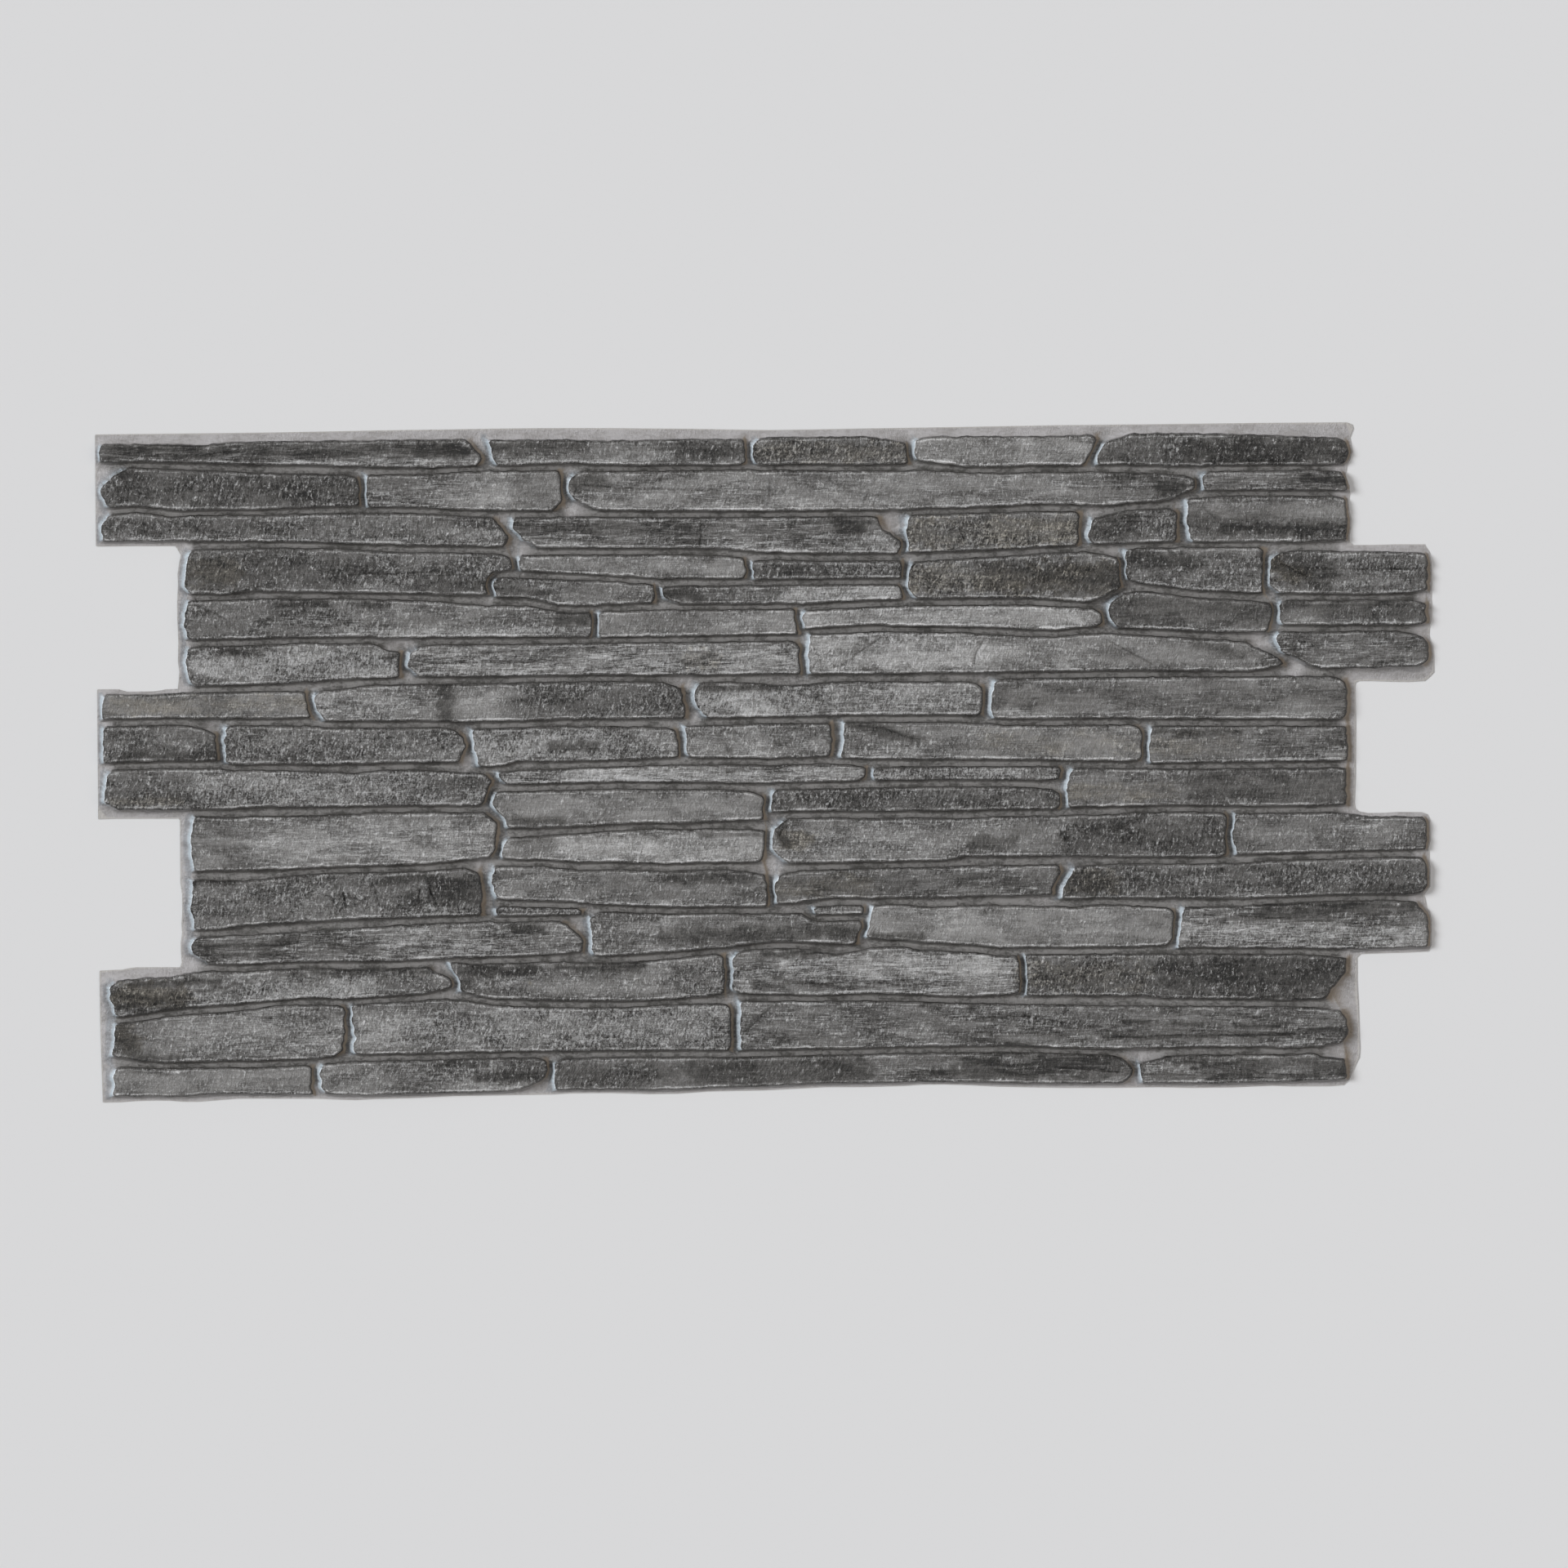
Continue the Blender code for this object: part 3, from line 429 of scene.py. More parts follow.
def spaced(line: np.ndarray, spacing: float, closed: bool, steeper: float = 1.0) -> np.ndarray:
    """A line or loop read again at even steps.

    Args:
        line: Rows whose first two columns are x and y, and whose other columns go along with them.
        spacing: About the distance from one row to the next.
        closed: Whether the last row is joined to the first.
        steeper: How many times closer the rows lie where the line runs up or down the panel.

    Returns:
        The new rows.
    """
    rows = np.vstack([line, line[:1]]) if closed else np.asarray(line, float)
    steps = np.linalg.norm(np.diff(rows[:, :2], axis=0) * (1, steeper), axis=1)
    travelled = np.concatenate([[0], np.cumsum(steps)])
    count = max(2, round(travelled[-1] / spacing))
    stops = np.linspace(0, travelled[-1], count + 1)
    if closed:
        stops = stops[:-1]
    return np.stack([np.interp(stops, travelled, column) for column in rows.T], axis=1)


@dataclass(frozen=True)
class StoneLoops:
    """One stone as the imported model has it.

    Attributes:
        lip: The loop round its flat top, anticlockwise from above.
        foot: The loop where its wall meets the web, with as many points.
        top: The height of its top.
    """

    lip: Points
    foot: Points
    top: float


class PackedSheet:
    """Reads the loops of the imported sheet."""

    def __init__(self, node: bpy.types.Object, web_height: float) -> None:
        """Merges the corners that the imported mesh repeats.

        Args:
            node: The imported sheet.
            web_height: The height of the front of the web.
        """
        numbers: dict[tuple[int, ...], int] = {}
        self.corners: list[tuple[float, ...]] = []
        self.web_height = web_height
        self.faces: list[tuple[list[int], float]] = []
        same = 1e6
        index = []
        for vertex in node.data.vertices:
            key = tuple(round(value * same) for value in vertex.co)
            if key not in numbers:
                numbers[key] = len(self.corners)
                self.corners.append(tuple(value / MM for value in vertex.co))
            index.append(numbers[key])
        for face in node.data.polygons:
            self.faces.append(([index[corner] for corner in face.vertices], face.normal.z))

    def upward_loops(self, lowest: float, highest: float) -> list[np.ndarray]:
        """The borders of the faces that look straight up between two heights.

        Args:
            lowest: The least height.
            highest: The greatest height.

        Returns:
            Loops of x, y and z, with the faces on their left.
        """
        sides = set()
        for ring, up in self.faces:
            heights = [self.corners[corner][2] for corner in ring]
            if up > 0.99 and lowest < min(heights) and max(heights) < highest:
                sides.update(zip(ring, ring[1:] + ring[:1]))
        border = {start: end for start, end in sides if (end, start) not in sides}
        loops = []
        while border:
            first = min(border)
            loop, here = [first], border.pop(first)
            while here != first:
                loop.append(here)
                here = border.pop(here)
            loops.append(np.array([self.corners[corner] for corner in loop]))
        return loops

    def rim_and_stones(self) -> tuple[Points, list[StoneLoops]]:
        """The trimmed rim and the stones, from the top left to the bottom right.

        Returns:
            The rim's loop, anticlockwise, and the stones' loops.
        """
        slack = 0.1
        web = self.upward_loops(self.web_height - slack, self.web_height + slack)
        web.sort(key=lambda loop: np.ptp(loop[:, 0]))
        rim = web.pop()
        feet = {tuple(np.round(loop[:, :2].mean(axis=0), 3)): loop[::-1, :2] for loop in web}
        stones = []
        for lip in self.upward_loops(self.web_height + slack, math.inf):
            middle = lip[:, :2].mean(axis=0)
            foot = feet[min(feet, key=lambda place: math.dist(place, middle))]
            first = np.linalg.norm(foot - lip[0, :2], axis=1).argmin()
            stones.append(StoneLoops(lip[:, :2], np.roll(foot, -first, axis=0), lip[0, 2]))
        stones.sort(key=lambda stone: (-round(stone.lip[:, 1].mean()), stone.lip[:, 0].mean()))
        return rim[:, :2], stones


@dataclass(frozen=True)
class MarkLine:
    """A crack or a ledge across a stone.

    Attributes:
        points: The points that it follows in the frame, from its start to its end.
        depth: How far the face drops.
        reach: How far beside the line the drop takes.
        lasting: How far the low side of a ledge takes to come up again, or nought for a crack.
    """

    points: Points
    depth: float
    reach: float
    lasting: float = 0.0

    def rows(self) -> list[Points]:
        """The rows of vertices that give the line its crisp sides.

        Returns:
            The line's own row and those beside it.
        """
        run = np.gradient(self.points, axis=0)
        run /= np.linalg.norm(run, axis=1)[:, None]
        right = np.stack([run[:, 1], -run[:, 0]], axis=1) * self.reach
        beside = [right] if self.lasting else [right, -right]
        return [self.points] + [self.points + offset for offset in beside]

    def lowered(self, points: Points) -> tuple[np.ndarray, np.ndarray]:
        """How the line changes some points of the face.

        Args:
            points: Points in the frame.

        Returns:
            How much lower each point lies, and how much painted shade the line lays there.
        """
        distance, side, piece, along = nearest_on_lines(points, self.points[:-1], self.points[1:])
        share = (piece + along) / (len(self.points) - 1)
        taper = smooth_step(0, 0.12, np.minimum(share, 1 - share))
        dark = np.clip(1 - distance / self.reach, 0, 1) * taper
        if not self.lasting:
            return self.depth * dark, dark
        low = np.clip(side * distance / self.reach, 0, 1) * np.exp(-((distance / self.lasting) ** 2))
        return self.depth * low * taper, 0.8 * dark


class StoneLooks:
    """The strokes of each look, read at any points of the face."""

    EDGE_WANDER = 0.55  # how far the noise moves a stroke's edge, in half widths

    def __init__(self, drawing: Drawing) -> None:
        """Places the strokes.

        Args:
            drawing: The drawing that they are on.
        """
        self.wander = Noise(11)
        self.strokes = {}
        for look, strokes in STROKES.items():
            rows = np.array(strokes, float)
            starts, ends = drawing.place(rows[:, 0:2]), drawing.place(rows[:, 2:4])
            self.strokes[look] = (starts, ends, rows[:, 4], rows[:, 5])

    def at(self, points: Points) -> dict[Look, np.ndarray]:
        """How strong each look is.

        Args:
            points: Points in the frame.

        Returns:
            For each look one value from 0 to 1 for each point.
        """
        x, y = points.T
        coarse, fine = self.wander.at(x / 9, y / 3.5), self.wander.at(x / 3, y / 1.7)
        ragged = self.EDGE_WANDER * (coarse + 0.5 * fine)
        strengths = {}
        for look, (starts, ends, widths, weights) in self.strokes.items():
            total = np.zeros(len(points))
            for start, end, width, weight in zip(starts, ends, widths, weights):
                low = np.minimum(start, end) - 1.5 * width
                high = np.maximum(start, end) + 1.5 * width
                near = ((points > low) & (points < high)).all(axis=1)
                distance, _, _, _ = nearest_on_lines(points[near], start[None], end[None])
                depth = distance / (width / 2) + ragged[near]
                total[near] = np.maximum(total[near], weight * (1 - smooth_step(0.6, 1.25, depth)))
            strengths[look] = total
        return strengths


@dataclass(frozen=True)
class Relief:
    """The broken face of the stones.

    Attributes:
        swell: Half the height of the long, low swell.
        bedding: The height of the steps along the bedding.
        streak: Half the depth of the streaks along the bedding.
        chip: The depth of the chips on a rough face.
        hatch: Half the depth of the slanting marks on a hatched face.
        worn_edge: How far the face falls off at its edge.
        worn_width: How far in from the edge it falls off.
        noises: The noises that the parts of the relief follow.
    """

    swell: float = 0.34
    bedding: float = 0.46
    streak: float = 0.24
    chip: float = 0.85
    hatch: float = 0.40
    worn_edge: float = 0.26
    worn_width: float = 2.4
    noises: tuple[Noise, ...] = field(default_factory=lambda: tuple(map(Noise, range(6))))

    def height(self, points: Points, inset: np.ndarray, looks: dict[Look, np.ndarray]) -> np.ndarray:
        """How high the face lies above or below the stone's plain top.

        Args:
            points: Points in the frame.
            inset: Each point's distance from the edge of its stone.
            looks: How strong each look is at the points.

        Returns:
            One height for each point.
        """
        x, y = points.T
        swell, steps, streaks, chips, slant, edge = self.noises
        calm = 1 - 0.7 * looks[Look.SMOOTH]
        height = self.swell * swell.at(x / 42, y / 15)
        level = 1.7 * steps.at(x / 60, y / 8) + 0.5 * steps.at(x / 14 + 40, y / 5)
        riser = smooth_step(0.38, 0.62, level - np.floor(level))
        height += self.bedding * calm * (np.floor(level) + riser - 0.55 * level)
        streaky = 0.35 + 0.65 * looks[Look.STREAKED]
        height += self.streak * calm * streaky * streaks.at(x / 24, y / 2.6)
        rough = calm * (0.25 + 0.75 * looks[Look.ROUGH])
        creased = np.abs(chips.at(x / 8, y / 5.5)) + 0.6 * np.abs(chips.at(x / 4.2 + 9, y / 3.4))
        height -= self.chip * rough * np.clip(0.75 - 1.6 * creased, 0, 1)
        height += 0.3 * self.chip * rough * chips.at(x / 3.6, y / 3.6 + 20)
        across, down = x * 0.82 + y * 0.57, y * 0.82 - x * 0.57
        height += self.hatch * looks[Look.HATCHED] * slant.at(across / 3.4, down / 12)
        wear = self.worn_edge * (1 + edge.at(x / 7, y / 7))
        return height - wear * np.exp(-((inset / self.worn_width) ** 2))


@dataclass
class SheetDraft:
    """The vertices and faces of the sheet while they are gathered.

    Attributes:
        places: Blocks of x, y and the height before relief.
        roles: The role of each vertex, in like blocks.
        insets: Each vertex's distance from the edge of its stone, in like blocks.
        leans: The way out of the stone at each vertex of its wall, in like blocks.
        faces: The corners of each face.
        count: How many vertices there are.
    """

    places: list[np.ndarray] = field(default_factory=list)
    roles: list[np.ndarray] = field(default_factory=list)
    insets: list[np.ndarray] = field(default_factory=list)
    leans: list[np.ndarray] = field(default_factory=list)
    faces: list[tuple[int, ...]] = field(default_factory=list)
    count: int = 0

    def add(
        self,
        points: Points,
        height: float,
        role: Role,
        inset: float | np.ndarray = 0.0,
        lean: Points | tuple[float, float] = (0.0, 0.0),
    ) -> np.ndarray:
        """Adds vertices.

        Args:
            points: Their places in plan.
            height: Their height.
            role: Where on the sheet they lie.
            inset: Their distance from the edge of their stone, one for all or one each.
            lean: The way out of their stone, one for all or one each.

        Returns:
            Their numbers.
        """
        amount = len(points)
        self.places.append(np.column_stack([points, np.full(amount, height)]))
        self.roles.append(np.full(amount, role.value))
        self.insets.append(np.array(np.broadcast_to(inset, amount), float))
        self.leans.append(np.array(np.broadcast_to(lean, (amount, 2)), float))
        self.count += amount
        return np.arange(self.count - amount, self.count)

    def join(self, lower: np.ndarray, upper: np.ndarray) -> None:
        """Adds the band of faces between two rings of as many vertices."""
        corners = np.stack([lower, np.roll(lower, -1), np.roll(upper, -1), upper], axis=1)
        self.faces.extend(map(tuple, corners.tolist()))

    def fill(self, rings: list[np.ndarray], plan: Points, upward: bool) -> None:
        """Fills the first ring, round the others, with triangles.

        Args:
            rings: The numbers of the vertices of each ring, the outer one first.
            plan: The plan of all those vertices, in the same order.
            upward: Whether the faces look up.
        """
        numbers = np.concatenate(rings)
        starts = np.cumsum([0] + [len(ring) for ring in rings])
        loops = [list(range(start, start + len(ring))) for start, ring in zip(starts, rings)]
        flat = [Vector(place) for place in plan]
        _, _, triangles, sources, _, inside = delaunay_2d_cdt(flat, [], loops, 0, SAME_POINT)
        for triangle, loops_round_it in zip(triangles, inside):
            if loops_round_it == [0]:
                corners = tuple(int(numbers[sources[corner][0]]) for corner in triangle)
                self.faces.append(corners if upward else corners[::-1])


@dataclass(frozen=True)
class StoneShape:
    """The rings of one stone as they are laid, with as many points each.

    Attributes:
        foot: Where its wall meets the web.
        shoulder: Where its wall turns towards its face.
        lip: Where its face starts.
        brow: A ring on its face just inside the lip.
        out: The way from the lip to the foot at each point.
        lean: The way that its wall looks at each point.
    """

    foot: Points
    shoulder: Points
    lip: Points
    brow: Points
    out: Points
    lean: Points


@dataclass
class FormedSheet:
    """The formed sheet: its face with every stone, its back and its trimmed edge.

    Attributes:
        drawing: The drawing that the cracks and ledges are on.
        highest: The height that no stone passes.
        thickness: The sheet's thickness.
        foot_share: Where the foot lies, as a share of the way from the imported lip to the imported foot.
        shoulder_share: Where the shoulder lies, likewise.
        lip_share: Where the lip lies, likewise.
        end_spread: How much wider the walls are at the ends of a stone, as a share.
        growth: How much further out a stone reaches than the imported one, where there is room.
        shoulder_drop: How far below the top the shoulder lies.
        brow_inset: How far inside the lip the brow lies.
        back_lip_inset: How far inside the lip the edge of the ceiling lies.
        rim_spacing: The distance between the vertices along the trimmed edge.
        ring_spacing: The distance between the vertices round a stone.
        end_detail: How many times closer they are at its ends.
        grain: The distance between the vertices on a stone's face.
        back_grain: The same on the back.
        wander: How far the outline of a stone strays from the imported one.
        end_wander: How much further it strays at the ends of the most jagged stones.
        sunk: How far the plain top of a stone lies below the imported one, to leave room for the relief.
        sharp_angle: Faces that meet at more than this many degrees keep a sharp edge.
        crack_depth: How deep the cracks are.
        crack_reach: How far the walls of a crack lie from its middle.
        ledge_depth: How far the face drops at a ledge.
        ledge_reach: How far beside the ledge the drop takes.
        ledge_lasting: How far the low side of a ledge takes to come up again.
        line_margin: How far the cracks and ledges stay inside the brow.
        line_reach: How far from a crack or ledge the face may still be lowered.
        corner_cut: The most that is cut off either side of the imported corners.
        growing_room: The gaps beside a stone at which its growth starts and is full.
        spreading_room: The same for the wider walls at its ends.
        rim_room: How many times its real width the gap to the rim counts for.
        open_joint: The gaps at which a joint starts to look like the rim, and does fully.
        near_rim: The distances to the rim up to which the flat looks like it, and past which not.
    """

    drawing: Drawing
    highest: float
    thickness: float = 0.4
    foot_share: float = 1.12
    shoulder_share: float = 0.44
    lip_share: float = 0.08
    end_spread: float = 0.75
    growth: float = 0.75
    shoulder_drop: float = 1.05
    brow_inset: float = 1.1
    back_lip_inset: float = 0.3
    rim_spacing: float = 8.0
    ring_spacing: float = 3.4
    end_detail: float = 2.4
    grain: float = 2.66
    back_grain: float = 9.0
    wander: float = 0.50
    end_wander: float = 2.0
    sunk: float = 0.42
    sharp_angle: float = 85.0
    crack_depth: float = 1.1
    crack_reach: float = 1.3
    ledge_depth: float = 1.0
    ledge_reach: float = 1.0
    ledge_lasting: float = 13.0
    line_margin: float = 0.9
    line_reach: float = 25.0
    corner_cut: float = 1.0
    growing_room: tuple[float, float] = (2.0, 4.4)
    spreading_room: tuple[float, float] = (3.4, 6.4)
    rim_room: float = 1.6
    open_joint: tuple[float, float] = (4.0, 9.0)
    near_rim: tuple[float, float] = (6.5, 13.0)

    def __post_init__(self) -> None:
        """Gets the tools that every stone shares ready."""
        self.draft = SheetDraft()
        self.outline_noise = Noise(21)
        self.random = np.random.default_rng(5)
        crack = (self.crack_depth, self.crack_reach)
        ledge = (self.ledge_depth, self.ledge_reach, self.ledge_lasting)
        self.lines = [MarkLine(self.wandering(points), *crack) for points in CRACKS]
        self.lines += [MarkLine(self.wandering(points), *ledge) for points in LEDGES]

    def wandering(self, points: tuple[tuple[float, float], ...]) -> Points:
        """A drawn line in the frame, read at short steps and a little unsteady.

        Args:
            points: The line on the drawing.

        Returns:
            The line in the frame.
        """
        line = spaced(self.drawing.place(points), 2.4, False)
        x, y = line.T / 5
        stray = np.stack([self.outline_noise.at(x, y), self.outline_noise.at(x + 50, y)], axis=1)
        share = np.linspace(0, 1, len(line))
        ease = smooth_step(0, 0.15, np.minimum(share, 1 - share))
        return line + 0.7 * stray * ease[:, None]

    def stone_shape(self, stone: StoneLoops) -> StoneShape:
        """The wavy rings of one stone.

        Args:
            stone: The stone as packed.

        Returns:
            Its rings in plan.
        """
        loop = rounded(np.hstack([stone.lip, stone.foot]), self.corner_cut)
        loop = spaced(loop, self.ring_spacing, True, self.end_detail)
        lip, foot = loop[:, :2], loop[:, 2:]
        out = (foot - lip) / np.linalg.norm(foot - lip, axis=1)[:, None]
        along = np.roll(lip, -1, axis=0) - np.roll(lip, 1, axis=0)
        lean = np.stack([along[:, 1], -along[:, 0]], axis=1) / np.linalg.norm(along, axis=1)[:, None]
        x, y = lip.T
        jagged = 1 + self.random.uniform(0, self.end_wander) * np.abs(lean[:, 0])
        stray = self.outline_noise.at(x / 12, y / 12)
        stray += 1.2 * jagged * self.outline_noise.at(x / 4.5, y / 4.5 + 30)
        stray *= self.wander
        moved = out * stray[:, None]
        lip, foot = lip + moved, foot + moved
        wall = foot - lip
        laid_lip = lip + wall * self.lip_share
        return StoneShape(
            foot=lip + wall * self.foot_share,
            shoulder=lip + wall * self.shoulder_share,
            lip=laid_lip,
            brow=laid_lip - out * self.brow_inset,
            out=out,
            lean=lean,
        )

    @staticmethod
    def gaps(shape: StoneShape, shapes: list[StoneShape]) -> np.ndarray:
        """How far each point of a stone's foot lies from the feet of the other stones."""
        others = np.vstack([other.foot for other in shapes if other is not shape])
        return np.linalg.norm(shape.foot[:, None, :] - others[None, :, :], axis=2).min(axis=1)

    def widened(self, shapes: list[StoneShape], rim: Points) -> list[StoneShape]:
        """Grows the stones, and the walls at their ends, where there is room beside them.

        Args:
            shapes: The rings of every stone.
            rim: The trimmed edge.

        Returns:
            The wider rings.
        """
        wider = []
        for shape in shapes:
            to_rim, _, _, _ = nearest_on_lines(shape.foot, *loop_pieces(rim))
            gaps = np.minimum(self.gaps(shape, shapes), self.rim_room * to_rim)
            grown = shape.out * (self.growth * smooth_step(*self.growing_room, gaps))[:, None]
            ends = self.end_spread * shape.lean[:, 0] ** 2 * smooth_step(*self.spreading_room, gaps)
            spread = (shape.foot - shape.lip) * ends[:, None]
            wider.append(replace(
                shape,
                foot=shape.foot + grown + spread,
                shoulder=shape.shoulder + grown + 0.4 * spread,
                lip=shape.lip + grown,
                brow=shape.brow + grown,
            ))
        return wider

    def line_rows(self, brow: Points) -> list[Points]:
        """The rows of the cracks and ledges on one stone, in runs.

        Args:
            brow: The stone's brow.

        Returns:
            The runs of vertices, each to be joined from end to end.
        """
        low, high = brow.min(axis=0), brow.max(axis=0)
        runs = []
        for line in self.lines:
            middle = line.points.mean(axis=0)
            if not ((middle > low) & (middle < high)).all():
                continue
            for row in line.rows():
                distance, _, _, _ = nearest_on_lines(row, *loop_pieces(brow))
                kept = is_inside(row, brow) & (distance > self.line_margin)
                breaks = np.flatnonzero(np.diff(kept.astype(int))) + 1
                for run, flags in zip(np.split(row, breaks), np.split(kept, breaks)):
                    if flags[0] and len(run) > 1:
                        runs.append(run)
        return runs

    def face_points(self, border: Points, runs: list[Points], spacing: float) -> Points:
        """Scattered points on a stone, clear of its border and its cracks.

        Args:
            border: The ring that they are to lie in.
            runs: The runs of vertices along its cracks and ledges.
            spacing: About the distance between the points.

        Returns:
            The points.
        """
        low, high = border.min(axis=0), border.max(axis=0)
        step = spacing * math.sqrt(0.75)
        columns = np.arange(low[0], high[0], spacing)
        rows = np.arange(low[1] + step / 2, high[1], step)
        x, y = np.meshgrid(columns, rows)
        x[1::2] += spacing / 2
        points = np.stack([x.ravel(), y.ravel()], axis=1)
        points += self.random.uniform(-0.2, 0.2, points.shape) * spacing
        points = points[is_inside(points, border)]
        distance, _, _, _ = nearest_on_lines(points, *loop_pieces(border))
        points = points[distance > 0.5 * spacing]
        for run in runs:
            distance, _, _, _ = nearest_on_lines(points, run[:-1], run[1:])
            points = points[distance > 0.5 * spacing]
        return points

    def lay_face(self, border: Points, ring: np.ndarray, top: float, runs: list[Points]) -> None:
        """Covers a stone, or its ceiling, with small triangles.

        Args:
            border: The plan of the ring that bounds it.
            ring: The numbers of the ring's vertices.
            top: The height of the stone's plain top, or nought for its ceiling.
            runs: The runs of vertices along its cracks and ledges.
        """
        back = not top
        inner = self.face_points(border, runs, self.back_grain if back else self.grain)
        drawn = [border] + runs + [inner]
        starts = np.cumsum([0] + [len(block) for block in drawn])
        sides = []
        for start, run in zip(starts[1:], runs):
            sides += [(i, i + 1) for i in range(start, start + len(run) - 1)]
        flat = [Vector(place) for block in drawn for place in block]
        loop = [list(range(len(border)))]
        places, _, triangles, sources, _, inside = delaunay_2d_cdt(flat, sides, loop, 0, SAME_POINT)
        numbers = {}
        fresh = []
        for number, came_from in enumerate(sources):
            on_border = [corner for corner in came_from if corner < len(border)]
            if on_border:
                numbers[number] = int(ring[on_border[0]])
            else:
                fresh.append(number)
        plan = np.array([places[number] for number in fresh]).reshape(-1, 2)
        inset, _, _, _ = nearest_on_lines(plan, *loop_pieces(border))
        role = Role.BACK if back else Role.FACE
        added = self.draft.add(plan, top, role, self.brow_inset + inset)
        numbers.update(zip(fresh, added.tolist()))
        for triangle, loops_round_it in zip(triangles, inside):
            if loops_round_it:
                corners = tuple(numbers[corner] for corner in triangle)
                self.draft.faces.append(corners[::-1] if back else corners)

    def lay_front(self, rim: Points, stones: list[StoneLoops]) -> tuple[np.ndarray, list[StoneShape]]:
        """Lays the whole face of the sheet.

        Args:
            rim: The trimmed edge.
            stones: The stones as packed.

        Returns:
            The numbers of the rim's vertices and the rings of every stone.
        """
        add, join = self.draft.add, self.draft.join
        rim_ring = add(rim, self.thickness, Role.WEB)
        rings = [rim_ring]
        shapes = self.widened([self.stone_shape(stone) for stone in stones], rim)
        for stone, shape in zip(stones, shapes):
            top = stone.top - self.sunk
            foot = add(shape.foot, self.thickness, Role.FOOT, 0, shape.lean)
            shoulder = add(shape.shoulder, top - self.shoulder_drop, Role.SHOULDER, 0, shape.lean)
            lip = add(shape.lip, top, Role.LIP, 0, shape.lean)
            brow = add(shape.brow, top, Role.BROW, self.brow_inset, shape.lean)
            join(foot, shoulder)
            join(shoulder, lip)
            join(lip, brow)
            self.lay_face(shape.brow, brow, top, self.line_rows(shape.brow))
            rings.append(foot)
        self.draft.fill(rings, np.vstack([rim] + [shape.foot for shape in shapes]), True)
        return rim_ring, shapes

    def lay_back(
        self, rim: Points, front_rim: np.ndarray, shapes: list[StoneShape], front: np.ndarray
    ) -> None:
        """Lays the back of the sheet, which follows the front, and the trimmed edge between them.

        Args:
            rim: The trimmed edge.
            front_rim: The numbers of its vertices on the front.
            shapes: The rings of every stone.
            front: The places of the front's vertices.
        """
        rim_ring = self.draft.add(rim, 0.0, Role.BACK)
        self.draft.join(rim_ring, front_rim)
        rings, plans = [rim_ring], [rim]
        tree = KDTree(len(front))
        for number, (x, y, _) in enumerate(front):
            tree.insert((x, y, 0), number)
        tree.balance()
        for shape in shapes:
            mouth_plan = (shape.foot - shape.out * self.thickness)[::2]
            lip_plan = (shape.lip - shape.out * self.back_lip_inset)[::2]
            mouth = self.draft.add(mouth_plan, 0.0, Role.BACK)
            lip = self.draft.add(lip_plan, 0.0, Role.BACK)
            self.draft.join(lip, mouth)
            self.lay_face(lip_plan, lip, 0.0, [])
            self.hang_ceiling(np.vstack(self.draft.places[-2:]), front, tree)
            rings.append(mouth)
            plans.append(mouth_plan)
        self.draft.fill(rings, np.vstack(plans), False)

    def hang_ceiling(self, ceiling: np.ndarray, front: np.ndarray, tree: KDTree) -> None:
        """Puts a stone's ceiling one thickness below the lowest part of the face near it.

        Args:
            ceiling: The places of its vertices, which were the last to be added.
            front: The places of the front's vertices.
            tree: The plan of the front.
        """
        reach = 0.75 * self.back_grain
        above_web = self.thickness + 1.5
        for row in ceiling:
            near = [front[number][2] for _, number, _ in tree.find_range((row[0], row[1], 0), reach)]
            row[2] = min(height for height in near if height > above_web) - self.thickness
        split = len(self.draft.places[-2])
        self.draft.places[-2], self.draft.places[-1] = ceiling[:split], ceiling[split:]

    def raised(
        self, places: np.ndarray, roles: np.ndarray, insets: np.ndarray, looks: dict[Look, np.ndarray]
    ) -> tuple[np.ndarray, np.ndarray]:
        """Gives the face its relief.

        Args:
            places: The places of the front's vertices.
            roles: Their roles.
            insets: Their distance from the edges of the stones.
            looks: How strong each look is there.

        Returns:
            The places with their relief, and how much painted shade the cracks and ledges lay on each
            vertex.
        """
        share = np.select([roles >= Role.LIP.value, roles == Role.SHOULDER.value], [1, 0.6])
        relief = Relief().height(places[:, :2], insets, looks)
        dark = np.zeros(len(places))
        for line in self.lines:
            low = line.points.min(axis=0) - self.line_reach
            high = line.points.max(axis=0) + self.line_reach
            near = (places[:, :2] > low) & (places[:, :2] < high)
            near = near.all(axis=1) & (share == 1)
            drop, shade = line.lowered(places[near, :2])
            relief[near] -= drop
            dark[near] = np.maximum(dark[near], shade)
        raised = places.copy()
        raised[:, 2] += share * relief
        raised[:, 2] = np.minimum(raised[:, 2], self.highest)
        return raised, dark

